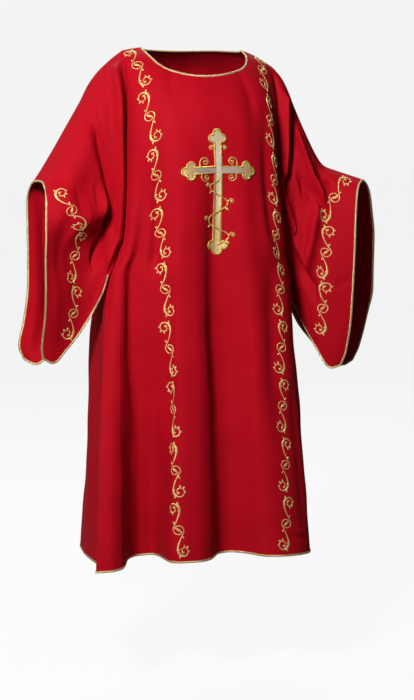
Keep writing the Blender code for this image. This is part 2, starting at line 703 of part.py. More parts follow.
def braid_solid(name, path, normal, cloth_side, closed, finish):
    """A flat six-sided braid that follows a cut edge and stands just off it."""
    ahead, behind = np.roll(path, -1, axis=0), np.roll(path, 1, axis=0)
    if not closed:
        ahead[-1], behind[0] = path[-1], path[0]
    outward = unit(np.cross(ahead - behind, normal))
    if ((path - cloth_side) * outward).sum() < 0:
        outward = -outward
    half = BRAID_THICKNESS / 2
    profile = (
        (BRAID_GAP, -0.9 * half),
        (0.35 * BRAID_WIDTH, -half),
        (BRAID_WIDTH, -0.5 * half),
        (BRAID_WIDTH, 0.5 * half),
        (0.35 * BRAID_WIDTH, half),
        (BRAID_GAP, 0.9 * half),
    )
    bm = bmesh.new()
    rings = []
    for place, out, up in zip(path, outward, normal):
        middle = place - up * WALL / 2
        rings.append([bm.verts.new(middle + out * r + up * h) for r, h in profile])
    count = len(rings)
    for k in range(count if closed else count - 1):
        ring, after = rings[k], rings[(k + 1) % count]
        for m in range(len(profile) - 1):
            bm.faces.new((ring[m], ring[m + 1], after[m + 1], after[m]))
        split_rim(bm, ring[-1], after[-1], after[0], ring[0])
    if not closed:
        bm.faces.new(rings[0])
        bm.faces.new(rings[-1][::-1])
    return add_object(name, bm, finish)


# === seams ===============================================================================
class Panel:
    """One piece of cloth: its grid of places, its normals and the depth of its wall."""

    def __init__(self, grid, facing):
        self.grid = grid
        self.normal = grid_normals(grid) * facing
        self.own_normal = self.normal.copy()
        self.shift = np.zeros_like(grid)
        self.straight = np.ones(grid.shape[:2])

    def outer(self):
        return self.grid + self.shift

    def inner(self):
        """The mitre at a seam is deeper than the wall, up to a limit."""
        return self.outer() - self.normal * WALL / np.clip(self.straight, 0.4, 1.0)[..., None]


def join(pieces, along_seam):
    """Meets pieces at a seam: one shared normal, and half a gap clear on each side.

    pieces is a list of (panel, indices, inner indices); the indices name the same places in
    each panel, and the inner ones the places beside them, inside the cloth.
    """
    shared = unit(sum(panel.own_normal[at] for panel, at, _ in pieces))
    across_seam = unit(np.cross(along_seam, shared))
    straight = [(panel.own_normal[at] * shared).sum(-1) for panel, at, _ in pieces]
    for panel, at, inside in pieces:
        panel.normal[at] = shared
        panel.straight[at] = np.minimum(*straight)
        inward = panel.grid[inside] - panel.grid[at]
        sign = np.sign((inward * across_seam).sum(-1, keepdims=True))
        panel.shift[at] += across_seam * sign * SEAM_GAP / 2


def seam_direction(places):
    return unit(np.gradient(places, axis=0))


def join_garment(front, back, sleeves):
    """The shoulder, armhole and side seams."""
    columns = front.grid.shape[1]
    rows = front.grid.shape[0]
    first = np.arange(SHOULDER_COLUMNS + 1)
    for shoulder in (first, columns - 1 - first):
        at, inside = (0 * shoulder, shoulder), (0 * shoulder + 1, shoulder)
        line = seam_direction(front.grid[at])
        join([(front, at, inside), (back, at, inside)], line)
    hole = np.arange(SLEEVE_ROWS + 1)
    side = np.arange(SLEEVE_ROWS + 1, rows)
    for edge, inner, sleeve in ((0, 1, sleeves[0]), (columns - 1, columns - 2, sleeves[1])):
        for body, sleeve_row in (
            (front, SLEEVE_ROWS - hole),
            (back, SLEEVE_ROWS + hole),
        ):
            at, inside = (hole, 0 * hole + edge), (hole, 0 * hole + inner)
            sleeve_at, sleeve_in = (sleeve_row, 0 * hole), (sleeve_row, 0 * hole + 1)
            if body is back:  # the top of the armhole is already met by the front
                at = tuple(a[1:] for a in at)
                inside = tuple(a[1:] for a in inside)
                sleeve_at = tuple(a[1:] for a in sleeve_at)
                sleeve_in = tuple(a[1:] for a in sleeve_in)
            line = seam_direction(body.grid[at])
            join([(body, at, inside), (sleeve, sleeve_at, sleeve_in)], line)
        back.normal[0, edge] = front.normal[0, edge]
        back.straight[0, edge] = front.straight[0, edge]
        back.shift[0, edge] += sleeve.shift[SLEEVE_ROWS, 0] * -1
        at, inside = (side, 0 * side + edge), (side, 0 * side + inner)
        join([(front, at, inside), (back, at, inside)], seam_direction(front.grid[at]))


# === the garment =========================================================================
def build_braids(front, back, sleeves, gold):
    """The gold braid on the neck, the hem and the free edges of both sleeves."""
    columns = front.grid.shape[1]
    neck = np.arange(SHOULDER_COLUMNS, columns - SHOULDER_COLUMNS)
    round_neck = [(front, 0, 1, j) for j in neck]
    round_neck += [(back, 0, 1, j) for j in neck[-2:0:-1]]
    round_hem = [(front, -1, -2, j) for j in range(columns)]
    round_hem += [(back, -1, -2, j) for j in range(columns - 2, 0, -1)]
    for name, ring in (("neck_braid", round_neck), ("hem_braid", round_hem)):
        path = np.array([panel.outer()[i, j] for panel, i, _, j in ring])
        normal = np.array([panel.normal[i, j] for panel, i, _, j in ring])
        cloth = np.array([panel.grid[k, j] for panel, _, k, j in ring])
        braid_solid(name, path, normal, cloth, True, gold)
    for name, sleeve in zip(("sleeve_braid_right", "sleeve_braid_left"), sleeves):
        rows, steps = sleeve.grid.shape[:2]
        edge = [(0, s, 1, s) for s in range(2, steps - 1)]
        edge += [(0, steps - 1, 1, steps - 2)]
        edge += [(r, steps - 1, r, steps - 2) for r in range(1, rows - 1)]
        edge += [(rows - 1, steps - 1, rows - 2, steps - 2)]
        edge += [(rows - 1, s, rows - 2, s) for s in range(steps - 2, 1, -1)]
        path = np.array([sleeve.outer()[i, j] for i, j, _, _ in edge])
        normal = np.array([sleeve.normal[i, j] for i, j, _, _ in edge])
        cloth = np.array([sleeve.grid[i, j] for _, _, i, j in edge])
        braid_solid(name, path, normal, cloth, False, gold)


def cross_outline():
    """The outline of a budded cross: three round buds at the end of each arm."""
    half, bud = CROSS_SHAFT / 2, CROSS_BUD
    aside = half + 0.35 * bud  # from the arm's line to the middle of a side bud
    reach = (CROSS_WIDTH / 2, CROSS_BAR_DROP, CROSS_WIDTH / 2, CROSS_HEIGHT - CROSS_BAR_DROP)
    outline = []
    for quarter, length in enumerate(reach):
        tip = length - bud  # middle of the end bud
        root = tip - 1.3 * bud  # middle of the side buds
        leave = math.asin((aside - half) / bud)  # where a side bud meets the arm's edge
        gap = math.hypot(tip - root, aside)
        lens = math.acos(gap / 2 / bud)  # half angle of the overlap of two buds
        lean = math.atan2(aside, tip - root)
        arcs = (
            (root, -aside, -math.pi - leave, lean - lens),
            (tip, 0.0, lean - math.pi + lens, math.pi - lean - lens),
            (root, aside, -lean + lens, math.pi + leave),
        )
        corner = [(half, -half)]
        for x, y, low, high in arcs:
            for angle in np.linspace(low, high, 10):
                corner.append((x + bud * math.cos(angle), y + bud * math.sin(angle)))
        outline += [rotate(place, quarter * math.pi / 2) for place in corner]
    return outline


def rotate(place, turn):
    x, y = place
    c, s = math.cos(turn), math.sin(turn)
    return (x * c - y * s, x * s + y * c)


def build_cross(lame):
    """The applied cross: a thin plate that lies on the form of the front."""
    bm = bmesh.new()
    bm.faces.new([bm.verts.new((x, y, 0)) for x, y in cross_outline()])
    cuts = [((x, 0, 0), (1, 0, 0)) for x in np.linspace(-0.08, 0.08, 9)]
    cuts += [((0, y, 0), (0, 1, 0)) for y in np.linspace(-0.19, 0.08, 14)]
    for place, direction in cuts:
        everything = bm.verts[:] + bm.edges[:] + bm.faces[:]
        bmesh.ops.bisect_plane(bm, geom=everything, plane_co=place, plane_no=direction)
    bmesh.ops.triangulate(bm, faces=bm.faces[:])
    flat = np.array([vert.co[:] for vert in bm.verts])
    across = flat[:, 0]
    down = CROSS_TOP_DOWN + CROSS_BAR_DROP - flat[:, 1]
    places, normals = cloth_place(True, across, down)
    bottom = places + normals * CROSS_LIFT
    top = bottom + normals * CROSS_THICKNESS
    under = bmesh.new()
    low = [under.verts.new(place) for place in bottom]
    high = [under.verts.new(place) for place in top]
    for face in bm.faces:
        corners = [vert.index for vert in face.verts]
        under.faces.new([high[k] for k in corners])
        under.faces.new([low[k] for k in reversed(corners)])
    for edge in bm.edges:
        if len(edge.link_faces) == 1:
            a, b = (vert.index for vert in edge.verts)
            under.faces.new((low[a], low[b], high[b], high[a]))
    bm.free()
    return add_object("cross", under, lame)


def build_garment():
    red = material("red_cloth", RED_CLOTH, 0.8)
    gold = material("gold_braid", GOLD_BRAID, 0.4, 0.7)
    lame = material("pale_lame", PALE_LAME, 0.45, 0.5)
    front, back = Panel(body_grid(True), 1), Panel(body_grid(False), -1)
    sleeves = Panel(sleeve_grid(True), 1), Panel(sleeve_grid(False), -1)
    join_garment(front, back, sleeves)
    for name, panel in (
        ("front_panel", front),
        ("back_panel", back),
        ("sleeve_right", sleeves[0]),
        ("sleeve_left", sleeves[1]),
    ):
        cloth_solid(name, panel.outer(), panel.inner(), red)
    build_braids(front, back, sleeves, gold)
    build_cross(lame)


def main():
    for old in list(bpy.data.objects):
        bpy.data.objects.remove(old)
    build_garment()


main()
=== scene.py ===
"""Dalmatic, the looks: fine cloth, cords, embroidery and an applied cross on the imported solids.

The file is laid out as a Blender add-on and is run as a script. Metres, +X to the wearer's
left, -Y to the front, +Z up. The tables and functions of the first half give the hang of the
cloth; the operators of the second half make the pieces that are seen.
"""

import math
from functools import cache

import bmesh
import bpy
import numpy as np
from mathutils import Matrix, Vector


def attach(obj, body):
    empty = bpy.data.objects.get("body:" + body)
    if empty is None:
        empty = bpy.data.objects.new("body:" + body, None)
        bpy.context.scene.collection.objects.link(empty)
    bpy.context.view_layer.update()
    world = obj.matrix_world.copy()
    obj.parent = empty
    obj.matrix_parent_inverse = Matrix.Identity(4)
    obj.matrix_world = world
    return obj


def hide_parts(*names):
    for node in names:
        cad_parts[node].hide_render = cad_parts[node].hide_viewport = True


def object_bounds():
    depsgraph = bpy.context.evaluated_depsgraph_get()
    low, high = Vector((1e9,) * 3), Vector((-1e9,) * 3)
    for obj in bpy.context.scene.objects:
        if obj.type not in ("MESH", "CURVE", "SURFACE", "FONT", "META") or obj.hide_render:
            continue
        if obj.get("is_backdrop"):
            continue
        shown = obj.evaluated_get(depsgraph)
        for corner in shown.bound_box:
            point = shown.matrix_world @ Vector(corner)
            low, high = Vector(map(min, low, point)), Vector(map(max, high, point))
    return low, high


bl_info = {
    "name": "Dalmatic",
    "version": (1, 0, 0),
    "blender": (4, 5, 0),
    "location": "View3D > Sidebar > Dalmatic",
    "description": "Builds the cloth, cords, embroidery and cross of a dalmatic",
    "category": "Object",
}

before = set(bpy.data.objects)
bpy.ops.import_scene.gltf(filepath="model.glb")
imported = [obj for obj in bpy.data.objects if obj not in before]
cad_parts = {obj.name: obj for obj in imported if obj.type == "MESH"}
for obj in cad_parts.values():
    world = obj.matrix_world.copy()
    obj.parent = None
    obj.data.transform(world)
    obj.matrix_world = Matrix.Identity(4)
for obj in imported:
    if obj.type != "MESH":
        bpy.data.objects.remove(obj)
CAD_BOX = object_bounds()
BODY = "root"

# --- driving dimensions, in metres: all but the wall are as in the solids -----------------
WALL = 0.0014  # thickness of the cloth
SEAM_GAP = 0.0001  # clear space between two pieces that are sewn together
BODY_LENGTH = 1.335  # shoulder seam to hem, measured down the cloth
ARMHOLE_DEPTH = 0.62  # shoulder seam to the top of the side seam, down the cloth
UNDERARM_GAP = 0.020  # the sleeve's lower corners end this far above the side seam
FRONT_NECK_DEPTH = 0.140  # measured down the cloth from the shoulder seam
BACK_NECK_DEPTH = 0.055
NECK_SHARE = 0.73  # share of the shoulder line that the neck opening takes
CROSS_TOP_DOWN = 0.280  # shoulder line to the top of the cross, down the cloth
CROSS_HEIGHT = 0.307
CROSS_WIDTH = 0.187
CROSS_BAR_DROP = 0.099  # top of the cross to the middle of its bar
CROSS_SHAFT = 0.0165  # width of the shaft and of the bar
CROSS_BUD = 0.0098  # radius of each of the three buds at an arm's end

# --- the hang of the body ----------------------------------------------------------------
# One row for each level. "down" is measured down the cloth from the shoulder seam.
# The centre lines: where the middle of the front and of the back hang.
MIDDLE_COLUMNS = ("down", "x", "front_y", "front_z", "back_y", "back_z", "square")
MIDDLES = (
    (0.000, -0.013, 0.000, 0.009, 0.000, 0.009, 1.0),
    (0.050, -0.013, -0.045, -0.012, 0.043, -0.006, 1.0),
    (0.100, -0.012, -0.087, -0.041, 0.084, -0.031, 1.1),
    (0.140, -0.011, -0.118, -0.067, 0.112, -0.059, 1.2),
    (0.200, -0.010, -0.150, -0.116, 0.140, -0.111, 1.4),
    (0.280, -0.004, -0.172, -0.192, 0.158, -0.189, 1.5),
    (0.380, 0.000, -0.180, -0.291, 0.162, -0.289, 1.5),
    (0.480, 0.002, -0.181, -0.391, 0.160, -0.389, 1.5),
    (0.620, 0.003, -0.182, -0.531, 0.161, -0.529, 1.3),
    (1.335, 0.005, -0.186, -1.248, 0.170, -1.250, 1.2),
)
# The side edges: the armhole seam down to the armpit, and below it the side seam. The garment
# is turned a little on its wearer: the right side seam lies forward and the left one back.
SIDE_COLUMNS = ("down", "x", "front_y", "back_y", "z")
RIGHT_SIDE = (
    (0.000, -0.190, 0.000, 0.000, -0.004),
    (0.050, -0.191, -0.035, 0.035, -0.025),
    (0.100, -0.194, -0.056, 0.056, -0.065),
    (0.140, -0.197, -0.064, 0.067, -0.100),
    (0.200, -0.202, -0.069, 0.077, -0.158),
    (0.280, -0.206, -0.071, 0.084, -0.238),
    (0.380, -0.209, -0.071, 0.080, -0.338),
    (0.480, -0.214, -0.070, 0.056, -0.437),
    (0.560, -0.226, -0.070, 0.004, -0.503),
    (0.620, -0.246, -0.072, -0.072, -0.545),
    (1.335, -0.275, -0.110, -0.110, -1.256),
)
LEFT_SIDE = (
    (0.000, 0.172, 0.000, 0.000, -0.026),
    (0.050, 0.182, -0.033, 0.035, -0.047),
    (0.100, 0.188, -0.052, 0.056, -0.087),
    (0.140, 0.188, -0.061, 0.067, -0.122),
    (0.200, 0.187, -0.067, 0.077, -0.178),
    (0.280, 0.187, -0.070, 0.084, -0.257),
    (0.380, 0.191, -0.069, 0.082, -0.354),
    (0.480, 0.200, -0.058, 0.068, -0.449),
    (0.560, 0.213, -0.030, 0.044, -0.522),
    (0.620, 0.232, 0.014, 0.014, -0.574),
    (1.335, 0.268, 0.050, 0.050, -1.268),
)

# --- the folds of the body ---------------------------------------------------------------
# The hem seen from above: where each ridge, hollow and flank of the big folds stands.
# "across" runs over the cloth from -1, the right side seam, to 1, the left side seam.
HEM_COLUMNS = ("across", "x", "y")
FRONT_HEM = (
    (-1.00, -0.326, -0.206),
    (-0.93, -0.292, -0.212),
    (-0.86, -0.259, -0.196),
    (-0.80, -0.240, -0.163),
    (-0.74, -0.222, -0.123),
    (-0.69, -0.204, -0.096),
    (-0.63, -0.176, -0.080),
    (-0.57, -0.146, -0.082),
    (-0.50, -0.133, -0.112),
    (-0.37, -0.128, -0.186),
    (-0.30, -0.100, -0.206),
    (-0.22, -0.060, -0.208),
    (-0.14, -0.026, -0.193),
    (-0.08, -0.005, -0.164),
    (-0.02, 0.014, -0.134),
    (0.04, 0.042, -0.126),
    (0.11, 0.075, -0.148),
    (0.22, 0.117, -0.200),
    (0.29, 0.150, -0.208),
    (0.40, 0.204, -0.196),
    (0.52, 0.248, -0.166),
    (0.64, 0.271, -0.108),
    (0.80, 0.291, -0.015),
    (1.00, 0.275, 0.088),
)
BACK_HEM = (
    (-1.00, -0.326, -0.206),
    (-0.94, -0.310, -0.170),
    (-0.84, -0.281, -0.118),
    (-0.73, -0.276, -0.058),
    (-0.52, -0.274, 0.060),
    (-0.42, -0.262, 0.116),
    (-0.33, -0.235, 0.156),
    (-0.26, -0.195, 0.172),
    (-0.18, -0.152, 0.160),
    (-0.11, -0.112, 0.168),
    (-0.04, -0.078, 0.197),
    (0.02, -0.050, 0.202),
    (0.13, -0.008, 0.180),
    (0.24, 0.036, 0.152),
    (0.34, 0.074, 0.168),
    (0.43, 0.102, 0.195),
    (0.51, 0.136, 0.200),
    (0.60, 0.167, 0.177),
    (0.70, 0.200, 0.146),
    (0.80, 0.237, 0.154),
    (0.90, 0.266, 0.140),
    (1.00, 0.275, 0.088),
)
FOLDS_START = 0.36  # how far down the cloth the hem's folds begin to show
# Small soft folds higher up, each along one line down the cloth. "height" is negative for a
# hollow and "width" is its half width; both are in metres, "across" as above.
SOFT_COLUMNS = ("across", "width", "height", "from_down", "to_down")
FRONT_SOFT_FOLDS = (
    (-0.70, 0.028, -0.012, 0.14, 1.00),
    (0.52, 0.032, -0.010, 0.12, 0.72),
    (0.35, 0.034, -0.010, 0.52, 1.15),
    (-0.04, 0.050, -0.010, 0.30, 1.05),
    (0.86, 0.020, -0.010, 0.10, 0.36),
)
BACK_SOFT_FOLDS = (
    (-0.68, 0.110, 0.024, 0.56, 1.70),
    (-0.55, 0.080, 0.016, 0.46, 1.00),
    (-0.40, 0.040, -0.012, 0.16, 0.90),
    (0.04, 0.050, -0.010, 0.14, 0.80),
    (0.52, 0.040, -0.013, 0.16, 0.90),
)

# --- the hang of the sleeves -------------------------------------------------------------
# "along" runs from the armhole seam (0) to the cuff (1); "fall" from the fold over the arm (0)
# down to the lower corner of a cuff (1).
EDGE_COLUMNS = ("share", "x", "y", "z")
RIGHT_TOP = (
    (0.00, -0.194, 0.000, -0.008),
    (0.09, -0.225, -0.003, -0.030),
    (0.25, -0.269, -0.008, -0.071),
    (0.41, -0.300, -0.015, -0.125),
    (0.61, -0.340, -0.025, -0.190),
    (0.79, -0.376, -0.035, -0.248),
    (1.00, -0.418, -0.045, -0.314),
)
RIGHT_CUFF_FRONT = (
    (0.00, -0.418, -0.045, -0.314),
    (0.04, -0.413, -0.068, -0.316),
    (0.09, -0.412, -0.096, -0.334),
    (0.18, -0.418, -0.128, -0.369),
    (0.33, -0.426, -0.154, -0.439),
    (0.60, -0.423, -0.140, -0.561),
    (0.78, -0.421, -0.116, -0.643),
    (0.93, -0.422, -0.090, -0.715),
    (1.00, -0.417, -0.081, -0.746),
)
RIGHT_CUFF_BACK = (
    (0.00, -0.418, -0.045, -0.314),
    (0.04, -0.424, -0.028, -0.317),
    (0.09, -0.428, -0.010, -0.336),
    (0.18, -0.430, 0.005, -0.372),
    (0.33, -0.428, 0.012, -0.443),
    (0.60, -0.426, 0.020, -0.576),
    (0.78, -0.434, 0.030, -0.664),
    (0.93, -0.446, 0.034, -0.729),
    (1.00, -0.436, 0.028, -0.760),
)
RIGHT_UNDER_FRONT = (
    (0.00, -0.253, -0.092, -0.530),
    (0.08, -0.264, -0.112, -0.552),
    (0.18, -0.275, -0.112, -0.579),
    (0.40, -0.298, -0.094, -0.632),
    (0.60, -0.328, -0.086, -0.683),
    (0.80, -0.363, -0.082, -0.728),
    (0.93, -0.394, -0.080, -0.757),
    (1.00, -0.417, -0.081, -0.746),
)
RIGHT_UNDER_BACK = (
    (0.00, -0.240, -0.030, -0.532),
    (0.15, -0.276, -0.010, -0.580),
    (0.35, -0.302, 0.015, -0.640),
    (0.60, -0.338, 0.020, -0.700),
    (0.80, -0.376, 0.018, -0.742),
    (0.93, -0.412, 0.010, -0.770),
    (1.00, -0.436, 0.028, -0.760),
)
LEFT_TOP = (
    (0.00, 0.172, 0.000, -0.026),
    (0.11, 0.213, 0.000, -0.054),
    (0.24, 0.241, -0.003, -0.099),
    (0.50, 0.286, -0.009, -0.200),
    (0.71, 0.326, -0.018, -0.281),
    (0.76, 0.340, -0.025, -0.297),
    (0.83, 0.361, -0.040, -0.306),
    (1.00, 0.416, -0.085, -0.327),
)
LEFT_CUFF_FRONT = (
    (0.00, 0.416, -0.085, -0.327),
    (0.06, 0.397, -0.105, -0.340),
    (0.12, 0.387, -0.117, -0.365),
    (0.22, 0.381, -0.125, -0.414),
    (0.38, 0.379, -0.126, -0.489),
    (0.60, 0.375, -0.125, -0.603),
    (0.76, 0.372, -0.120, -0.679),
    (0.93, 0.363, -0.110, -0.762),
    (1.00, 0.353, -0.103, -0.794),
)
LEFT_CUFF_BACK = (
    (0.00, 0.416, -0.085, -0.327),
    (0.06, 0.434, -0.066, -0.340),
    (0.12, 0.450, -0.048, -0.365),
    (0.22, 0.466, -0.027, -0.410),
    (0.38, 0.480, -0.009, -0.485),
    (0.60, 0.480, -0.005, -0.608),
    (0.76, 0.462, -0.010, -0.680),
    (0.93, 0.434, -0.022, -0.762),
    (1.00, 0.412, -0.036, -0.792),
)
LEFT_UNDER_FRONT = (
    (0.00, 0.228, -0.004, -0.557),
    (0.12, 0.245, -0.006, -0.592),
    (0.27, 0.258, -0.004, -0.628),
    (0.42, 0.268, -0.028, -0.664),
    (0.54, 0.277, -0.055, -0.700),
    (0.74, 0.298, -0.088, -0.753),
    (0.93, 0.332, -0.100, -0.800),
    (1.00, 0.353, -0.103, -0.794),
)
LEFT_UNDER_BACK = (
    (0.00, 0.228, 0.024, -0.557),
    (0.12, 0.250, 0.048, -0.598),
    (0.27, 0.270, 0.054, -0.642),
    (0.42, 0.289, 0.040, -0.690),
    (0.54, 0.306, 0.016, -0.724),
    (0.74, 0.342, -0.012, -0.770),
    (0.93, 0.386, -0.040, -0.803),
    (1.00, 0.412, -0.036, -0.792),
)
# Folds and creases, each a straight line between two places on the cloth. On a sleeve "across"
# is the way along it and "down" the fall, negative on the front and positive on the back, and
# the width is a share of them too. Heights are in metres, negative for a hollow.
STROKE_COLUMNS = ("across_a", "down_a", "across_b", "down_b", "width", "height")
RIGHT_FOLDS = (
    (0.085, -0.08, 0.085, -0.80, 0.040, 0.024),
    (0.085, -0.80, 0.20, -0.85, 0.055, 0.024),
    (0.44, -0.10, 0.38, -0.18, 0.050, -0.006),
    (0.38, -0.18, 0.33, -0.26, 0.048, -0.013),
    (0.33, -0.26, 0.26, -0.37, 0.046, -0.021),
    (0.26, -0.37, 0.20, -0.50, 0.046, -0.027),
    (0.20, -0.50, 0.18, -0.60, 0.048, -0.032),
    (0.18, -0.60, 0.23, -0.68, 0.052, -0.036),
    (0.23, -0.68, 0.42, -0.72, 0.060, -0.036),
    (0.95, -0.12, 0.80, -0.28, 0.055, 0.014),
    (0.80, -0.28, 0.68, -0.42, 0.065, 0.026),
    (0.68, -0.42, 0.50, -0.51, 0.075, 0.040),
    (0.50, -0.51, 0.30, -0.58, 0.060, 0.034),
    (0.84, -0.50, 0.50, -0.72, 0.120, -0.014),
    (0.20, 0.30, 0.16, 0.85, 0.090, -0.020),
    (0.46, 0.30, 0.42, 0.85, 0.120, 0.018),
    (0.72, 0.32, 0.72, 0.90, 0.110, -0.012),
)
LEFT_FOLDS = (
    (0.025, -0.12, 0.025, -0.95, 0.018, -0.018),
    (0.10, -0.20, 0.10, -0.50, 0.035, 0.018),
    (0.34, -0.08, 0.30, -0.16, 0.038, -0.010),
    (0.30, -0.16, 0.25, -0.27, 0.040, -0.020),
    (0.25, -0.27, 0.155, -0.53, 0.042, -0.024),
    (0.40, -0.10, 0.60, -0.15, 0.036, -0.014),
    (0.60, -0.15, 0.76, -0.13, 0.038, -0.024),
    (0.34, -0.22, 0.60, -0.22, 0.045, 0.014),
    (0.60, -0.22, 0.74, -0.20, 0.045, 0.020),
    (0.40, -0.40, 0.66, -0.28, 0.040, -0.010),
    (0.14, -0.66, 0.52, -0.68, 0.055, 0.018),
    (0.67, -0.32, 0.60, -0.48, 0.050, 0.016),
    (0.60, -0.48, 0.52, -0.68, 0.050, 0.022),
    (0.42, -0.79, 0.60, -0.76, 0.050, -0.016),
    (0.20, 0.30, 0.16, 0.85, 0.090, -0.020),
    (0.48, 0.30, 0.46, 0.85, 0.120, 0.018),
    (0.74, 0.32, 0.72, 0.90, 0.110, -0.012),
)

# --- how finely the cloth is divided -------------------------------------------------------
NECK_COLUMNS = 96
SHOULDER_COLUMNS = 32
SLEEVE_ROWS = 106
SKIRT_ROWS = 124
SLEEVE_STEPS = tuple(np.linspace(0, 1, 91))

# --- creases that the solids leave out ------------------------------------------------------
# On the body, in metres sideways from the centre line and down the cloth.
FRONT_CREASES = (
    (-0.105, 0.05, -0.120, 0.19, 0.012, -0.0030),
    (0.100, 0.06, 0.128, 0.24, 0.014, -0.0030),
    (0.000, 0.62, 0.000, 1.32, 0.004, 0.0010),
    (-0.150, 0.20, -0.160, 0.62, 0.022, -0.0070),
    (-0.160, 0.62, -0.188, 1.10, 0.024, -0.0070),
    (-0.182, 0.36, -0.205, 0.64, 0.018, -0.0150),
    (0.118, 0.14, 0.112, 0.60, 0.026, -0.0050),
    (-0.008, 0.30, -0.010, 1.05, 0.040, -0.0040),
    (0.172, 0.16, 0.170, 0.55, 0.020, -0.0040),
    (0.150, 0.58, 0.136, 0.95, 0.022, -0.0060),
    (-0.255, 0.50, -0.300, 1.10, 0.020, -0.0080),
    (-0.010, 0.40, -0.012, 1.10, 0.026, -0.0070),
    (0.205, 0.90, 0.238, 1.28, 0.020, -0.0060),
    (0.175, 1.288, 0.250, 1.303, 0.008, -0.0035),
    (0.180, 1.276, 0.245, 1.290, 0.007, 0.0020),
)
BACK_CREASES = (
    (-0.080, 0.10, -0.130, 0.34, 0.016, -0.0050),
    (0.070, 0.12, 0.120, 0.38, 0.018, -0.0045),
    (-0.020, 0.20, 0.030, 0.46, 0.020, -0.0040),
    (-0.150, 0.45, -0.170, 0.95, 0.024, -0.0070),
    (0.060, 0.50, 0.070, 1.05, 0.026, -0.0070),
    (0.205, 0.40, 0.225, 0.90, 0.022, -0.0060),
    (0.000, 0.70, 0.000, 1.32, 0.004, 0.0010),
)
# On the sleeves, in the same shares as their folds.
RIGHT_CREASES = (
    (0.10, -0.08, 0.12, -0.37, 0.040, 0.0090),
    (0.09, -0.03, 0.09, -0.17, 0.060, -0.0075),
    (0.50, -0.04, 0.82, -0.13, 0.022, 0.0016),
    (0.93, -0.12, 0.72, -0.24, 0.020, -0.0018),
    (0.98, -0.10, 0.86, -0.15, 0.014, -0.0016),
    (0.78, -0.50, 0.66, -0.80, 0.040, -0.0030),
    (0.93, -0.42, 0.90, -0.78, 0.035, 0.0024),
    (0.34, 0.30, 0.30, 0.80, 0.040, 0.0060),
    (0.60, 0.35, 0.56, 0.85, 0.035, -0.0060),
    (0.86, 0.30, 0.84, 0.80, 0.030, 0.0040),
)
LEFT_CREASES = (
    (0.66, -0.04, 0.78, -0.10, 0.024, -0.0075),
    (0.50, -0.12, 0.78, -0.10, 0.018, -0.0050),
    (0.18, -0.12, 0.20, -0.40, 0.026, -0.0045),
    (0.30, -0.40, 0.44, -0.40, 0.020, -0.0035),
    (0.60, -0.48, 0.53, -0.65, 0.018, -0.0030),
    (0.30, -0.63, 0.52, -0.66, 0.018, -0.0030),
    (0.56, -0.68, 0.72, -0.74, 0.024, -0.0030),
    (0.40, -0.79, 0.60, -0.75, 0.020, -0.0050),
    (0.86, -0.60, 0.99, -0.54, 0.016, -0.0018),
    (0.34, 0.30, 0.30, 0.80, 0.040, 0.0060),
    (0.62, 0.35, 0.58, 0.85, 0.035, -0.0060),
    (0.86, 0.30, 0.84, 0.80, 0.030, 0.0040),
)
# The cloth is never quite flat: long weak ripples, as turns per metre across and down, a
# phase and a height in metres.
RIPPLE_COLUMNS = ("across", "down", "phase", "height")
RIPPLES = (
    (5.1, 1.7, 0.4, 0.0011),
    (-3.3, 4.1, 2.1, 0.0009),
    (9.7, -2.9, 1.2, 0.0005),
    (2.3, 9.1, 5.0, 0.0004),
)


A_TOUCH = 1e-9  # enough to tell one side of the centre line from the other
CREASE_RISE = 5  # how fast a crease grows from its ends
CREASE_END = 0.15  # the share of its height that it has at its very ends
SLEEVE_LENGTH, SLEEVE_DROP = 0.40, 0.49  # rough size of a sleeve, for its ripples
TURN_LEVELS, TURN_SHARES, TURN_STEPS = 60, 40, 91  # how finely the even turns are tabled
HALF_LEVELS, HALF_STEPS = 61, 121  # levels and places at which half widths are measured
FOLDS_OPEN = 1.1  # the power by which the hem's folds open on the way down
HALF_AT_SHOULDER, HALF_GAIN = 0.24, 0.27  # rough half width of a panel, for its soft folds
FOLD_GROWTH = 0.4  # the share of its length in which a soft fold grows, and fades again
HELD_SIDES = 0.90, 1.0  # the body's folds fade out between these shares of the way across
HELD_SEAM = 0, 0.07  # a sleeve's folds grow between these shares of the way along it,
HELD_TOP = 0.02, 0.14  # and of the fall from its top,
HELD_LOWER = 0.7, 0.97  # and they fade between these towards its lower edge,
HELD_LOWER_SHARE = 0.9  # where this share of them is held down
MITRE_LIMIT = 0.4  # a seam's mitre is at most 1 / 0.4 times as deep as the wall


# === curves and vectors ==================================================================
def column(table, names, name):
    """One named column of a table, as an array."""
    return np.array([row[names.index(name)] for row in table], float)


def cubic(start, leaving, end, arriving, t):
    """A cubic from start to end with a slope at each, at shares t of the way."""
    return (
        start * (1 + 2 * t) * (1 - t) ** 2
        + leaving * t * (1 - t) ** 2
        + end * t * t * (3 - 2 * t)
        - arriving * t * t * (1 - t)
    )


def smooth(table, names, key, name, where):
    """The value of a column at places between the rows: a cubic through the rows, no overshoot."""
    x = column(table, names, key)
    y = column(table, names, name)
    where = np.clip(np.asarray(where, float), x[0], x[-1])
    step = np.diff(x)
    slope = np.diff(y) / step
    tangent = np.empty_like(y)
    tangent[0], tangent[-1] = slope[0], slope[-1]
    before, after = slope[:-1], slope[1:]
    weight = step[1:] + 2 * step[:-1], 2 * step[1:] + step[:-1]
    same_way = before * after > 0
    safe_before = np.where(same_way, before, 1.0)
    safe_after = np.where(same_way, after, 1.0)
    mean = (weight[0] + weight[1]) / (weight[0] / safe_before + weight[1] / safe_after)
    tangent[1:-1] = np.where(same_way, mean, 0.0)
    i = np.clip(np.searchsorted(x, where, side="right") - 1, 0, len(x) - 2)
    t = (where - x[i]) / step[i]
    return cubic(y[i], tangent[i] * step[i], y[i + 1], tangent[i + 1] * step[i], t)


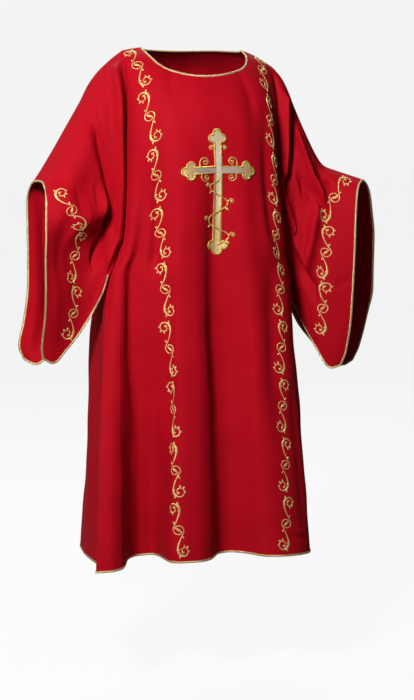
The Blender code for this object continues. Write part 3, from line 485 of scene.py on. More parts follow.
def blend(table, row, column):
    """Reads a grid of values at places between its rows and columns."""
    i, j = row.astype(int), column.astype(int)
    u, v = row - i, column - j
    if table.ndim > 2:
        u, v = u[..., None], v[..., None]
    upper = table[i, j] * (1 - v) + table[i, j + 1] * v
    lower = table[i + 1, j] * (1 - v) + table[i + 1, j + 1] * v
    return upper * (1 - u) + lower * u


def ease(value, low, high):
    """0 below low, 1 above high, and a smooth rise between them."""
    t = np.clip((np.asarray(value, float) - low) / (high - low), 0, 1)
    return t * t * (3 - 2 * t)


def unit(vectors):
    length = np.linalg.norm(vectors, axis=-1, keepdims=True)
    return vectors / np.maximum(length, 1e-12)


def measured(places):
    """How far along a path each of its places is."""
    return np.concatenate([[0], np.linalg.norm(np.diff(places, axis=0), axis=-1).cumsum()])


# === folds and creases ===================================================================
def ripples(across, down):
    """The weak ripples of the cloth at metres across and down it."""
    total = np.zeros(np.broadcast(across, down).shape)
    for row in RIPPLES:
        wave = dict(zip(RIPPLE_COLUMNS, row))
        turn = wave["across"] * across + wave["down"] * down
        total += wave["height"] * np.sin(2 * math.pi * turn + wave["phase"])
    return total


def stroke(row, here):
    """How far along a fold's line each place lies, as a share, and the fold's bell there."""
    fold = dict(zip(STROKE_COLUMNS, row))
    start = np.array([fold["across_a"], fold["down_a"]])
    line = np.array([fold["across_b"], fold["down_b"]]) - start
    share = np.clip((here - start) @ line / (line @ line), 0, 1)
    away = np.linalg.norm(here - start - share[..., None] * line, axis=-1)
    return share, np.exp(-((away / fold["width"]) ** 2))


def creased(lift, creases, here):
    """The lift of the cloth with its creases added."""
    for row in creases:
        share, bell = stroke(row, here)
        fade = np.minimum(1, CREASE_RISE * share * (1 - share) + CREASE_END)
        lift = lift + row[-1] * fade * bell
    return lift


def run_on_heights(folds):
    """Each fold's height at its start, middle and end, evened where one runs on into the next."""
    heights = []
    for before, row, after in zip((None, *folds), folds, (*folds[1:], None)):
        first = middle = last = row[-1]
        if before and before[2:4] == row[:2]:
            first = (before[-1] + middle) / 2
        if after and after[:2] == row[2:4]:
            last = (after[-1] + middle) / 2
        heights.append((first, middle, last))
    return heights


# === the cloth in space ==================================================================
def body_section(front, turn, down):
    """The smooth body cloth. turn goes from -90 degrees, the right edge, to 90, the left."""
    side = "front" if front else "back"
    middle = {
        name: smooth(MIDDLES, MIDDLE_COLUMNS, "down", name, down)
        for name in ("x", side + "_y", side + "_z", "square")
    }
    edge = {}
    for name in ("x", "front_y", "back_y", "z"):
        right = smooth(RIGHT_SIDE, SIDE_COLUMNS, "down", name, down)
        left = smooth(LEFT_SIDE, SIDE_COLUMNS, "down", name, down)
        edge[name] = np.where(turn < 0, right, left)
    edge_y = edge["front_y"] if front else edge["back_y"]
    edge_y = np.where(down > ARMHOLE_DEPTH, edge["front_y"], edge_y)  # one side seam
    bulge = 1 - (1 - np.cos(turn)) ** middle["square"]
    reach = np.abs(np.sin(turn))
    x = middle["x"] + (edge["x"] - middle["x"]) * reach
    y = edge_y + (middle[side + "_y"] - edge_y) * bulge
    z = middle[side + "_z"] + (edge["z"] - middle[side + "_z"]) * reach**3
    return np.stack([x, y, z], axis=-1)


@cache
def even_turns(front):
    """For a set of levels, the turns that divide each half of the section evenly."""
    levels = np.linspace(0, BODY_LENGTH, TURN_LEVELS + 1)
    quarter = np.linspace(0, math.pi / 2, TURN_STEPS)
    shares = np.linspace(0, 1, TURN_SHARES + 1)
    halves = []
    for sign in (-1, 1):
        down, turn = np.meshgrid(levels, quarter, indexing="ij")
        places = body_section(front, sign * turn + sign * A_TOUCH, down)
        steps = np.linalg.norm(np.diff(places, axis=1), axis=-1)
        run = np.concatenate([np.zeros((len(levels), 1)), np.cumsum(steps, 1)], axis=1)
        run /= run[:, -1:]
        halves.append(np.array([np.interp(shares, row, quarter) for row in run]))
    return halves


def turn_at(front, across, down):
    """The turn at a share of the way across the cloth, read between the even turns."""
    level = np.clip(down / BODY_LENGTH * TURN_LEVELS, 0, TURN_LEVELS - 0.001)
    share = np.clip(np.abs(across) * TURN_SHARES, 0, TURN_SHARES - 0.001)
    right, left = even_turns(front)
    return np.where(across < 0, -blend(right, level, share), blend(left, level, share))


def body_base(front, across, down):
    """The body cloth with the big folds that open towards the hem."""
    smooth_cloth = body_section(front, turn_at(front, across, down), down)
    bottom = np.full_like(down, BODY_LENGTH)
    smooth_hem = body_section(front, turn_at(front, across, bottom), bottom)
    hem = FRONT_HEM if front else BACK_HEM
    opened = np.clip((down - FOLDS_START) / (BODY_LENGTH - FOLDS_START), 0, 1) ** FOLDS_OPEN
    moved = np.zeros_like(smooth_cloth)
    for axis, name in enumerate("xy"):
        at_hem = smooth(hem, HEM_COLUMNS, "across", name, across)
        moved[..., axis] = (at_hem - smooth_hem[..., axis]) * opened
    return smooth_cloth + moved


def body_point(front, across, down):
    """A place on the folded body cloth."""
    across, down = np.broadcast_arrays(np.asarray(across, float), np.asarray(down, float))
    base = body_base(front, across, down)
    nudge = 0.01
    run = body_base(front, np.clip(across + nudge, -1, 1), down)
    run = run - body_base(front, np.clip(across - nudge, -1, 1), down)
    outward = np.stack([run[..., 1], -run[..., 0], np.zeros_like(across)], axis=-1)
    outward = unit(outward if front else -outward)
    half = HALF_AT_SHOULDER + HALF_GAIN * np.clip(down / BODY_LENGTH, 0, 1)
    lift = np.zeros_like(across)
    for row in FRONT_SOFT_FOLDS if front else BACK_SOFT_FOLDS:
        fold = dict(zip(SOFT_COLUMNS, row))
        away = (across - fold["across"]) * half / fold["width"]
        growth = FOLD_GROWTH * (fold["to_down"] - fold["from_down"])
        grown = ease(down, fold["from_down"], fold["from_down"] + growth)
        grown = grown * (1 - ease(down, fold["to_down"] - growth, fold["to_down"]))
        lift += fold["height"] * grown * np.exp(-(away**2))
    held = 1 - ease(np.abs(across), *HELD_SIDES)
    sideways = across * half
    creases = FRONT_CREASES if front else BACK_CREASES
    here = np.stack([sideways, down], axis=-1)
    lift += creased(ripples(sideways, down), creases, here)
    return base + outward * (lift * held)[..., None]


@cache
def half_widths(front, right):
    """A panel's widths of cloth from its centre line to a side edge, level by level."""
    levels = np.linspace(0, BODY_LENGTH, HALF_LEVELS)
    down, share = np.meshgrid(levels, np.linspace(0, 1, HALF_STEPS), indexing="ij")
    places = body_point(front, -share if right else share, down)
    return levels, np.linalg.norm(np.diff(places, axis=1), axis=-1).sum(axis=1)


def half_width(front, right, down):
    """The width of cloth from the centre line to a side edge, at a way down the cloth."""
    return np.interp(down, *half_widths(front, right))


def cloth_place(front, sideways, down):
    """The place and the normal at metres sideways from the centre line and down the cloth."""
    right, left = half_width(front, True, down), half_width(front, False, down)
    across = sideways / np.where(sideways < 0, right, left)
    nudge = 0.004
    run = body_point(front, across + nudge, down) - body_point(front, across - nudge, down)
    fall = body_point(front, across, down + nudge) - body_point(front, across, down - nudge)
    normal = unit(np.cross(fall, run))
    return body_point(front, across, down), normal if front else -normal


# What makes up each sleeve; the cuffs and lower edges are given for its front and its back.
SLEEVES = {
    "right": {
        "top": RIGHT_TOP,
        "cuff": (RIGHT_CUFF_FRONT, RIGHT_CUFF_BACK),
        "under": (RIGHT_UNDER_FRONT, RIGHT_UNDER_BACK),
        "folds": RIGHT_FOLDS,
        "creases": RIGHT_CREASES,
    },
    "left": {
        "top": LEFT_TOP,
        "cuff": (LEFT_CUFF_FRONT, LEFT_CUFF_BACK),
        "under": (LEFT_UNDER_FRONT, LEFT_UNDER_BACK),
        "folds": LEFT_FOLDS,
        "creases": LEFT_CREASES,
    },
}


def on_edge(table, share):
    """Places along one edge of a sleeve."""
    return np.stack(
        [smooth(table, EDGE_COLUMNS, "share", name, share) for name in "xyz"], axis=-1
    )


def armhole_point(side, fall):
    """The armhole seam: fall is -1 at its front end, 0 at the shoulder and 1 at its back end."""
    down = np.abs(fall) * (ARMHOLE_DEPTH - UNDERARM_GAP)
    across = np.full_like(down, -1.0 if side == "right" else 1.0)
    front, back = body_point(True, across, down), body_point(False, across, down)
    return np.where((fall < 0)[..., None], front, back)


def sleeve_patch(side, along, fall):
    """The sleeve cloth before its folds: a patch held by its seam, cuff, top and lower edge."""
    edges = SLEEVES[side]
    depth, zero, one = np.abs(fall), np.zeros_like(along), np.ones_like(along)

    def half_edge(name, share):
        front, back = edges[name]
        return np.where((fall < 0)[..., None], on_edge(front, share), on_edge(back, share))

    seam = armhole_point(side, fall)
    shoulder = armhole_point(side, np.zeros_like(fall))
    armpit = armhole_point(side, np.where(fall < 0, -1, 1) * 1.0)
    a, d = along[..., None], depth[..., None]
    top = on_edge(edges["top"], along) + (shoulder - on_edge(edges["top"], zero)) * (1 - a)
    cuff = half_edge("cuff", depth)
    under = half_edge("under", along) + (armpit - half_edge("under", zero)) * (1 - a)
    cuff_top, corner = on_edge(edges["top"], one), half_edge("cuff", one)
    between_ends = seam * (1 - a) + cuff * a
    between_edges = top * (1 - d) + under * d
    corners = (
        (shoulder * (1 - d) + armpit * d) * (1 - a) + (cuff_top * (1 - d) + corner * d) * a
    )
    return between_ends + between_edges - corners


def sleeve_point(side, along, fall):
    """A place on the folded sleeve cloth."""
    along, fall = np.broadcast_arrays(np.asarray(along, float), np.asarray(fall, float))
    base = sleeve_patch(side, along, fall)
    nudge = 0.01
    run_along = sleeve_patch(side, np.clip(along + nudge, 0, 1), fall)
    run_along = run_along - sleeve_patch(side, np.clip(along - nudge, 0, 1), fall)
    run_down = sleeve_patch(side, along, np.clip(fall + nudge, -1, 1))
    run_down = run_down - sleeve_patch(side, along, np.clip(fall - nudge, -1, 1))
    normal = unit(np.cross(run_along, run_down))
    if side == "right":
        normal = -normal
    raised, sunk = np.zeros_like(along), np.zeros_like(along)
    here = np.stack([along, fall], axis=-1)
    folds = SLEEVES[side]["folds"]
    for row, heights in zip(folds, run_on_heights(folds)):
        share, bell = stroke(row, here)
        height = np.interp(share, [0, 0.5, 1], heights) * bell
        raised, sunk = np.maximum(raised, height), np.minimum(sunk, height)
    wavy = ripples(along * SLEEVE_LENGTH, fall * SLEEVE_DROP)
    lift = raised + sunk + creased(wavy, SLEEVES[side]["creases"], here)
    depth = np.abs(fall)
    held = ease(along, *HELD_SEAM) * ease(depth, *HELD_TOP)
    held = held * (1 - HELD_LOWER_SHARE * ease(depth, *HELD_LOWER))
    return base + normal * (lift * held)[..., None]


# === grids of places =====================================================================
def body_rows():
    """Shares of the body's length at the grid's rows, with one row exactly at the armpit."""
    upper = np.linspace(0, ARMHOLE_DEPTH - UNDERARM_GAP, SLEEVE_ROWS + 1)
    lower = np.linspace(ARMHOLE_DEPTH, BODY_LENGTH, SKIRT_ROWS + 1)
    return np.concatenate([upper, lower]) / BODY_LENGTH


def body_columns():
    """Places across a panel, closer together at the ends of the neck opening."""
    swing = np.linspace(-math.pi / 2, math.pi / 2, NECK_COLUMNS + 1)
    neck = NECK_SHARE * np.sin(swing)
    outer = np.linspace(NECK_SHARE, 1, SHOULDER_COLUMNS + 1)[1:]
    return np.concatenate([-outer[::-1], neck, outer])


def body_places(front):
    """Ways across and down the cloth at the grid: under the neck opening the rows even out."""
    share, across = np.meshgrid(body_rows(), body_columns(), indexing="ij")
    depth = FRONT_NECK_DEPTH if front else BACK_NECK_DEPTH
    neck_cut = depth * np.sqrt(np.clip(1 - (across / NECK_SHARE) ** 2, 0, 1))
    return across, share * BODY_LENGTH + neck_cut * (1 - share) ** 4


def sleeve_grid(side):
    """Rows run from the front lower edge over the arm to the back one, columns to the cuff."""
    fall_steps = np.arange(-SLEEVE_ROWS, SLEEVE_ROWS + 1) / SLEEVE_ROWS
    fall, along = np.meshgrid(fall_steps, SLEEVE_STEPS, indexing="ij")
    return sleeve_point(side, along, fall)


def grid_normals(grid):
    """Normals of a grid's places, across the rows and then down the columns."""
    down = np.empty_like(grid)
    down[1:-1] = grid[2:] - grid[:-2]
    down[0], down[-1] = grid[1] - grid[0], grid[-1] - grid[-2]
    across = np.empty_like(grid)
    across[:, 1:-1] = grid[:, 2:] - grid[:, :-2]
    across[:, 0], across[:, -1] = grid[:, 1] - grid[:, 0], grid[:, -1] - grid[:, -2]
    normals = unit(np.cross(down, across))
    for row in (0, -1, 0, -1):  # along the first and last row a sharp turn is spread out
        beside = normals[row, :-2] + normals[row, 2:]
        normals[row, 1:-1] = unit(normals[row, 1:-1] + beside / 2)
    return normals


# === seams ===============================================================================
class Panel:
    """One piece of cloth: its grid of places, its normals and the depth of its wall."""

    def __init__(self, grid, facing):
        self.grid = grid
        self.normal = grid_normals(grid) * facing
        self.own_normal = self.normal.copy()
        self.shift = np.zeros_like(grid)
        self.straight = np.ones(grid.shape[:2])

    def outer(self):
        return self.grid + self.shift

    def inner(self):
        """The mitre at a seam is deeper than the wall, up to a limit."""
        straight = np.clip(self.straight, MITRE_LIMIT, 1.0)[..., None]
        return self.outer() - self.normal * WALL / straight


def join(pieces, along_seam):
    """Meets pieces at a seam: one shared normal, and half a gap clear on each side.

    pieces is a list of (panel, indices, inner indices); the indices name the same places in
    each panel, and the inner ones the places beside them, inside the cloth.
    """
    shared = unit(sum(panel.own_normal[at] for panel, at, _ in pieces))
    across_seam = unit(np.cross(along_seam, shared))
    straight = [(panel.own_normal[at] * shared).sum(-1) for panel, at, _ in pieces]
    for panel, at, inside in pieces:
        panel.normal[at] = shared
        panel.straight[at] = np.minimum(*straight)
        inward = panel.grid[inside] - panel.grid[at]
        sign = np.sign((inward * across_seam).sum(-1, keepdims=True))
        panel.shift[at] += across_seam * sign * SEAM_GAP / 2


def seam_direction(places):
    return unit(np.gradient(places, axis=0))


def join_garment(front, back, sleeves):
    """The shoulder, armhole and side seams."""
    rows, columns = front.grid.shape[:2]
    first = np.arange(SHOULDER_COLUMNS + 1)
    for shoulder in (first, columns - 1 - first):
        at, inside = (0 * shoulder, shoulder), (0 * shoulder + 1, shoulder)
        join([(front, at, inside), (back, at, inside)], seam_direction(front.grid[at]))
    side = np.arange(SLEEVE_ROWS + 1, rows)
    for edge, inner, sleeve in ((0, 1, sleeves[0]), (columns - 1, columns - 2, sleeves[1])):
        # the top of the armhole is met by the front, so the back starts one place lower
        for body, start, way in ((front, 0, -1), (back, 1, 1)):
            hole = np.arange(start, SLEEVE_ROWS + 1)
            at, inside = (hole, 0 * hole + edge), (hole, 0 * hole + inner)
            row = SLEEVE_ROWS + way * hole
            sleeve_at, sleeve_in = (row, 0 * hole), (row, 0 * hole + 1)
            line = seam_direction(body.grid[at])
            join([(body, at, inside), (sleeve, sleeve_at, sleeve_in)], line)
        back.normal[0, edge] = front.normal[0, edge]
        back.straight[0, edge] = front.straight[0, edge]
        back.shift[0, edge] += sleeve.shift[SLEEVE_ROWS, 0] * -1
        at, inside = (side, 0 * side + edge), (side, 0 * side + inner)
        join([(front, at, inside), (back, at, inside)], seam_direction(front.grid[at]))


@cache
def garment():
    """The front, the back and both sleeves, met at their seams; made by the first operator."""
    front = Panel(body_point(True, *body_places(True)), 1)
    back = Panel(body_point(False, *body_places(False)), -1)
    sleeves = Panel(sleeve_grid("right"), 1), Panel(sleeve_grid("left"), -1)
    join_garment(front, back, sleeves)
    return front, back, sleeves


# === pieces of cloth =====================================================================
SHARP_ANGLE = math.radians(60)  # edges that turn more than this are shaded as sharp


def set_uvs(mesh, uvs):
    """Gives a mesh its map: one place for each vertex, in metres."""
    layer = mesh.uv_layers[0] if mesh.uv_layers else mesh.uv_layers.new(name="cloth")
    layer.name = "cloth"
    corners = np.empty(len(mesh.loops), np.int32)
    mesh.loops.foreach_get("vertex_index", corners)
    layer.data.foreach_set("uv", uvs[corners].astype(np.float32).ravel())


def mesh_piece(name, vertices, faces, uvs=None):
    """A smooth-shaded object from arrays."""
    mesh = bpy.data.meshes.new(name)
    mesh.from_pydata(vertices, [], faces)
    if uvs is not None:
        set_uvs(mesh, uvs)
    mesh.shade_smooth()
    mesh.set_sharp_from_angle(angle=SHARP_ANGLE)
    made = bpy.data.objects.new(name, mesh)
    bpy.context.scene.collection.objects.link(made)
    return made


def sheet_piece(name, panel, uvs, facing):
    """A closed thin shell between a panel's outer and inner places."""
    outer, inner = panel.outer(), panel.inner()
    rows, columns = outer.shape[:2]
    count = rows * columns
    index = np.arange(count).reshape(rows, columns)
    a, b = index[:-1, :-1].ravel(), index[:-1, 1:].ravel()
    c, d = index[1:, 1:].ravel(), index[1:, :-1].ravel()
    rim = np.concatenate([index[0, :-1], index[:-1, -1], index[-1, :0:-1], index[:0:-1, 0]])
    after = np.roll(rim, -1)
    faces = np.concatenate(
        [
            np.stack([a, d, c, b], axis=1),
            np.stack([a, b, c, d], axis=1) + count,
            np.stack([rim, after, after + count, rim + count], axis=1),
        ]
    )
    if facing < 0:
        faces = faces[:, ::-1]
    vertices = np.concatenate([outer.reshape(-1, 3), inner.reshape(-1, 3)])
    flat = np.concatenate([uvs.reshape(-1, 2)] * 2)
    return mesh_piece(name, vertices.tolist(), faces.tolist(), flat)


def grid_area(grid):
    """The area of a grid of places, in square metres."""
    across, down = np.diff(grid, axis=1), np.diff(grid, axis=0)
    one = np.cross(across[:-1], down[:, :-1])
    other = np.cross(across[1:], down[:, 1:])
    return float((np.linalg.norm(one, axis=-1) + np.linalg.norm(other, axis=-1)).sum() / 2)


def body_uvs(front):
    """Metres sideways from the centre line and up from the shoulder seam."""
    across, down = body_places(front)
    wide = np.where(
        across < 0, half_width(front, True, down), half_width(front, False, down)
    )
    return np.stack([across * wide, -down], axis=-1)


def sleeve_uvs(sleeve):
    """Metres along the sleeve and round it, measured on the cloth."""
    grid = sleeve.grid
    along = np.linalg.norm(np.diff(grid, axis=1), axis=-1).cumsum(axis=1)
    along = np.concatenate([np.zeros((len(grid), 1)), along], axis=1)
    steps = np.linalg.norm(np.diff(grid, axis=0), axis=-1).mean(axis=1)
    fall = np.concatenate([[0], np.cumsum(steps)])
    return np.stack([along, np.broadcast_to(-fall[:, None], along.shape)], axis=-1)


# === cords ===============================================================================
CORD_BEYOND = 0.72  # how far beyond the cloth's edge the cord's middle lies, in half widths
CORD_SWELL = 0.16  # how much the two strands swell the cord's section
CORD_EVENED, CORD_TURNS_EVENED = 3, 6  # times that a cord's path and its turns are evened


def even_path(places, normals, closed, step):
    """A path and its normals at even steps, and the way along it of each."""
    if closed:
        places = np.concatenate([places, places[:1]])
        normals = np.concatenate([normals, normals[:1]])
    run = measured(places)
    at = np.linspace(0, run[-1], int(run[-1] / step), endpoint=not closed)
    place = np.stack([np.interp(at, run, places[:, k]) for k in range(3)], axis=1)
    normal = np.stack([np.interp(at, run, normals[:, k]) for k in range(3)], axis=1)
    return place, unit(normal), at


def neighbours(values, closed):
    """The values after and before each one; the ends of an open row stand in for themselves."""
    ahead, behind = np.roll(values, -1, axis=0), np.roll(values, 1, axis=0)
    if not closed:
        ahead[-1], behind[0] = values[-1], values[0]
    return ahead, behind


def forward_along(places, closed):
    """The direction of a path at each of its places."""
    ahead, behind = neighbours(places, closed)
    return unit(ahead - behind)


def even_out(values, closed, times):
    """Averages each value with its neighbours, a number of times."""
    for _ in range(times):
        ahead, behind = neighbours(values, closed)
        values = (ahead + 2 * values + behind) / 4
    return values


def face_outward(piece):
    """Recalculates a closed piece's normals, so that its faces point out."""
    bm = bmesh.new()
    bm.from_mesh(piece.data)
    bmesh.ops.recalc_face_normals(bm, faces=bm.faces)
    bm.to_mesh(piece.data)
    bm.free()


def tube_piece(name, rings, closed, material, uvs=None):
    """A tube through rings of places, capped at both ends unless it closes on itself."""
    count, sides = rings.shape[:2]
    index = np.arange(count * sides).reshape(count, sides)
    rows = np.arange(count if closed else count - 1)
    near, far = index[rows], index[(rows + 1) % count]
    quads = np.stack([near, np.roll(near, -1, 1), np.roll(far, -1, 1), far], axis=-1)
    faces = quads.reshape(-1, 4).tolist()
    if not closed:
        faces += [index[0][::-1].tolist(), index[-1].tolist()]
    made = mesh_piece(name, rings.reshape(-1, 3).tolist(), faces, uvs)
    face_outward(made)
    made.data.materials.append(material)
    return made


def cord_piece(name, path, normal, cloth, closed, sizes):
    """A twisted cord that follows a cut edge: two strands that wind round each other.

    cloth holds the places beside those of the path, inside the cloth.
    """
    wide, thick = sizes.cord_width / 2, sizes.cord_thickness / 2
    place, up, at = even_path(path, normal, closed, sizes.cord_step)
    inward = even_path(path, unit(cloth - path), closed, sizes.cord_step)[1]
    place = even_out(place, closed, CORD_EVENED)
    up = unit(even_out(up, closed, CORD_TURNS_EVENED))
    inward = unit(even_out(inward, closed, CORD_TURNS_EVENED))
    forward = forward_along(place, closed)
    up = unit(up - forward * (up * forward).sum(-1, keepdims=True))
    out = np.cross(forward, up)
    out *= -np.sign((out * inward).sum(-1, keepdims=True))
    middle = place - up * WALL / 2 + out * wide * CORD_BEYOND
    turns = np.linspace(0, 2 * math.pi, sizes.cord_sides, endpoint=False)
    whole = max(1, round((at[-1] + sizes.cord_step) / sizes.cord_pitch))
    twist = at / (at[-1] + sizes.cord_step) * whole * 2 * math.pi
    swell = 1 + CORD_SWELL * np.cos(2 * turns[None] - twist[:, None])
    rings = (
        middle[:, None]
        + out[:, None] * (wide * swell * np.cos(turns))[..., None]
        + up[:, None] * (thick * swell * np.sin(turns))[..., None]
    )
    uvs = np.stack(np.broadcast_arrays(at[:, None], turns * thick), axis=-1).reshape(-1, 2)
    return tube_piece(name, rings, closed, finish("cord_gold"), uvs)


# === embroidery ==========================================================================
# Half a scroll, in metres from its middle: x is across and y down.
CURL_MIDDLE, CURL_RADIUS, CURL_TURNS = np.array([-0.0095, -0.0515]), 0.0165, 1.24
CURL_TIGHTENING, CURL_SHRINK = 0.135, 0.08
CURL_STEPS, STEM_STEPS, LOOP_STEPS = 46, 20, 26
CURL_WIDTHS = (0, 2.2), (0.5, 2.5), (1.2, 1.5), (2.5, 1.0)  # radians from its tip, and width
LOOP_MIDDLE, LOOP_RADIUS, LOOP_ENDS = np.array([-0.0024, 0.0]), 0.0107, (214, 20)
STEM_LEAVING, STEM_ARRIVING = np.array([0.0, 0.050]), np.array([-0.016, 0.030])
STEM_WIDTHS = (0, 2.2), (0.25, 1.4), (0.6, 0.95), (1, 0.95)  # share of the way, and width
LOOP_WIDTH = 0.95
# Its small leaves: where each grows, in metres, the way it points in degrees (0 across,
# 90 down), its length and its half width in metres.
LEAVES = (
    (0.0012, -0.0625, -72, 0.0078, 0.0022),
    (-0.0165, -0.0447, 138, 0.0066, 0.0021),
    (-0.0112, -0.0426, 82, 0.0064, 0.0020),
    (-0.0198, -0.0525, 188, 0.0050, 0.0018),
    (-0.0085, -0.0535, -35, 0.0078, 0.0024),
    (0.0058, -0.0560, 195, 0.0052, 0.0017),
    (0.0068, -0.0480, 190, 0.0052, 0.0017),
    (-0.0076, -0.0150, -125, 0.0064, 0.0022),
    (-0.0030, -0.0040, 42, 0.0125, 0.0023),
)
LEAF_LIFT = 0.0002  # how far a leaf's middle stands out of the cloth


def scroll_half():
    """The centre line and the widths of half a scroll.

    A spiral curls in at the top, a stem falls from it in an S, and its end loops round the
    middle of the scroll. The other half is the same, turned over.
    """
    angle = np.linspace(CURL_TURNS * 2 * math.pi, 0, CURL_STEPS)
    radius = CURL_RADIUS * np.exp(-CURL_TIGHTENING * angle)
    radius = radius * (1 - CURL_SHRINK * angle / angle[0])
    spiral = CURL_MIDDLE + np.stack([radius * np.cos(angle), -radius * np.sin(angle)], axis=1)
    turn = np.radians(np.linspace(*LOOP_ENDS, LOOP_STEPS))
    loop = LOOP_MIDDLE + LOOP_RADIUS * np.stack([np.cos(turn), np.sin(turn)], axis=1)
    t = np.linspace(0, 1, STEM_STEPS)[1:-1, None]
    stem = cubic(spiral[-1], STEM_LEAVING, loop[0], STEM_ARRIVING, t)
    curl_widths = (*CURL_WIDTHS, (angle[0], CURL_WIDTHS[-1][1]))
    thick = [
        np.interp(angle, *zip(*curl_widths)),
        np.interp(t[:, 0], *zip(*STEM_WIDTHS)),
        np.full(len(loop), LOOP_WIDTH),
    ]
    return np.concatenate([spiral, stem, loop]), np.concatenate(thick)


def curve_mesh(name, line, widths, closed, **settings):
    """A curve through flat places, turned into a mesh and left as the active object."""
    curve = bpy.data.curves.new(name, "CURVE")
    for key, value in settings.items():
        setattr(curve, key, value)
    spline = curve.splines.new("POLY")
    spline.points.add(len(line) - 1)
    for point, (x, y), width in zip(spline.points, line, widths):
        point.co = (x, y, 0, 1)
        point.radius = width
    spline.use_cyclic_u = closed
    made = bpy.data.objects.new(name, curve)
    bpy.context.scene.collection.objects.link(made)
    bpy.ops.object.select_all(action="DESELECT")
    made.select_set(True)
    bpy.context.view_layer.objects.active = made
    bpy.ops.object.convert(target="MESH")
    return bpy.context.view_layer.objects.active


def new_stem(line, widths, raised):
    """A round thread along a flat line, as a mesh that stands half out of the cloth."""
    curve_mesh(
        "stem",
        line,
        widths,
        False,
        dimensions="3D",
        bevel_depth=1.0,
        bevel_resolution=1,
        use_fill_caps=True,
    )
    bpy.ops.transform.resize(value=(1, 1, raised))
    bpy.ops.object.transform_apply(location=True, rotation=True, scale=True)
    return bpy.context.view_layer.objects.active


def new_leaf(x, y, points, length, half_width, raised):
    """A drop of satin stitch: a ball drawn out to a leaf that starts at a place."""
    bpy.ops.object.select_all(action="DESELECT")
    bpy.ops.mesh.primitive_uv_sphere_add(segments=8, ring_count=5, radius=1)
    leaf = bpy.context.view_layer.objects.active
    turn = math.radians(points)
    leaf.rotation_euler = (0, math.pi / 2, 0)
    bpy.ops.object.transform_apply(rotation=True)
    leaf.scale = (length / 2, half_width, half_width * raised)
    leaf.rotation_euler = (0, 0, turn)
    middle = x + math.cos(turn) * length / 2, y + math.sin(turn) * length / 2
    leaf.location = (*middle, LEAF_LIFT)
    bpy.ops.object.transform_apply(location=True, rotation=True, scale=True)
    return leaf


def join_pieces(name, pieces):
    bpy.ops.object.select_all(action="DESELECT")
    for piece in pieces:
        piece.select_set(True)
    bpy.context.view_layer.objects.active = pieces[0]
    bpy.ops.object.join()
    joined = bpy.context.view_layer.objects.active
    joined.name = name
    joined.data.name = name
    return joined


def flat_scroll(sizes):
    """One whole scroll on flat cloth: vertices (across, down, up) and faces."""
    line, thick = scroll_half()
    pieces = []
    for sign, turned in ((1, 0), (-1, 180)):
        pieces.append(new_stem(line * sign, thick * sizes.thread / 2, sizes.raised))
        for x, y, points, length, half_width in LEAVES:
            leaf = new_leaf(x * sign, y * sign, points + turned, length, half_width, sizes.raised)
            pieces.append(leaf)
    whole = join_pieces("scroll", pieces)
    vertices = np.array([v.co[:] for v in whole.data.vertices])
    faces = [list(p.vertices) for p in whole.data.polygons]
    bpy.data.objects.remove(whole)
    return vertices, faces


def repeated(name, flat, faces, flips, lay):
    """Copies of a flat scroll: lay(k, across, down, up) gives the places of copy k."""
    vertices, all_faces, base = [], [], 0
    for k, flip in enumerate(flips):
        vertices.append(lay(k, flat[:, 0] * flip, flat[:, 1], flat[:, 2]))
        for face in faces:
            order = face if flip > 0 else face[::-1]
            all_faces.append([base + v for v in order])
        base += len(flat)
    made = mesh_piece(name, np.concatenate(vertices).tolist(), all_faces)
    made.data.materials.append(finish("thread_gold"))
    face_outward(made)
    settle(made, "gold_braid")


# The two embroidered columns: how far each lies sideways from the centre line.
LINE_COLUMNS = ("down", "right", "left")
COLUMN_LINES = (
    (0.00, -0.156, 0.176),
    (0.20, -0.160, 0.172),
    (0.40, -0.157, 0.174),
    (0.70, -0.151, 0.177),
    (1.00, -0.154, 0.175),
    (1.335, -0.174, 0.175),
)
# The embroidered band of each sleeve: how far along the sleeve it lies at each fall.
BAND_COLUMNS = ("fall", "along")
BANDS = {
    "right": (
        (-1.00, 0.74),
        (-0.86, 0.71),
        (-0.72, 0.69),
        (-0.58, 0.645),
        (-0.46, 0.66),
        (-0.28, 0.82),
        (-0.08, 0.93),
        (0.12, 0.90),
        (0.40, 0.80),
        (1.00, 0.78),
    ),
    "left": (
        (-1.00, 0.77),
        (-0.88, 0.76),
        (-0.70, 0.72),
        (-0.51, 0.77),
        (-0.38, 0.76),
        (-0.16, 0.85),
        (-0.05, 0.90),
        (0.12, 0.88),
        (0.40, 0.80),
        (1.00, 0.78),
    ),
}
BAND_STEPS = 401
BAND_EVENED = 60  # times that a band's line is evened
BAND_SCROLLS = 3  # scrolls on the front of a sleeve, and as many on its back


def band_line(side):
    """The band's middle on the sleeve at even steps: falls, alongs and the run from the top."""
    fall = np.linspace(-1, 1, BAND_STEPS)
    along = smooth(BANDS[side], BAND_COLUMNS, "fall", "along", fall)
    along = even_out(along, False, BAND_EVENED)
    run = measured(sleeve_point(side, along, fall))
    return fall, along, run - np.interp(0, fall, run)


def read_sleeve(sleeve, along, fall):
    """A place on a finished sleeve and the cloth's normal there."""
    rows, columns = sleeve.grid.shape[:2]
    row = np.clip((fall + 1) * SLEEVE_ROWS, 0, rows - 1.001)
    column = np.interp(along, SLEEVE_STEPS, np.arange(columns))
    column = np.minimum(column, columns - 1.001)
    return blend(sleeve.outer(), row, column), unit(blend(sleeve.normal, row, column))


def dot(first, second):
    return (first * second).sum(-1)


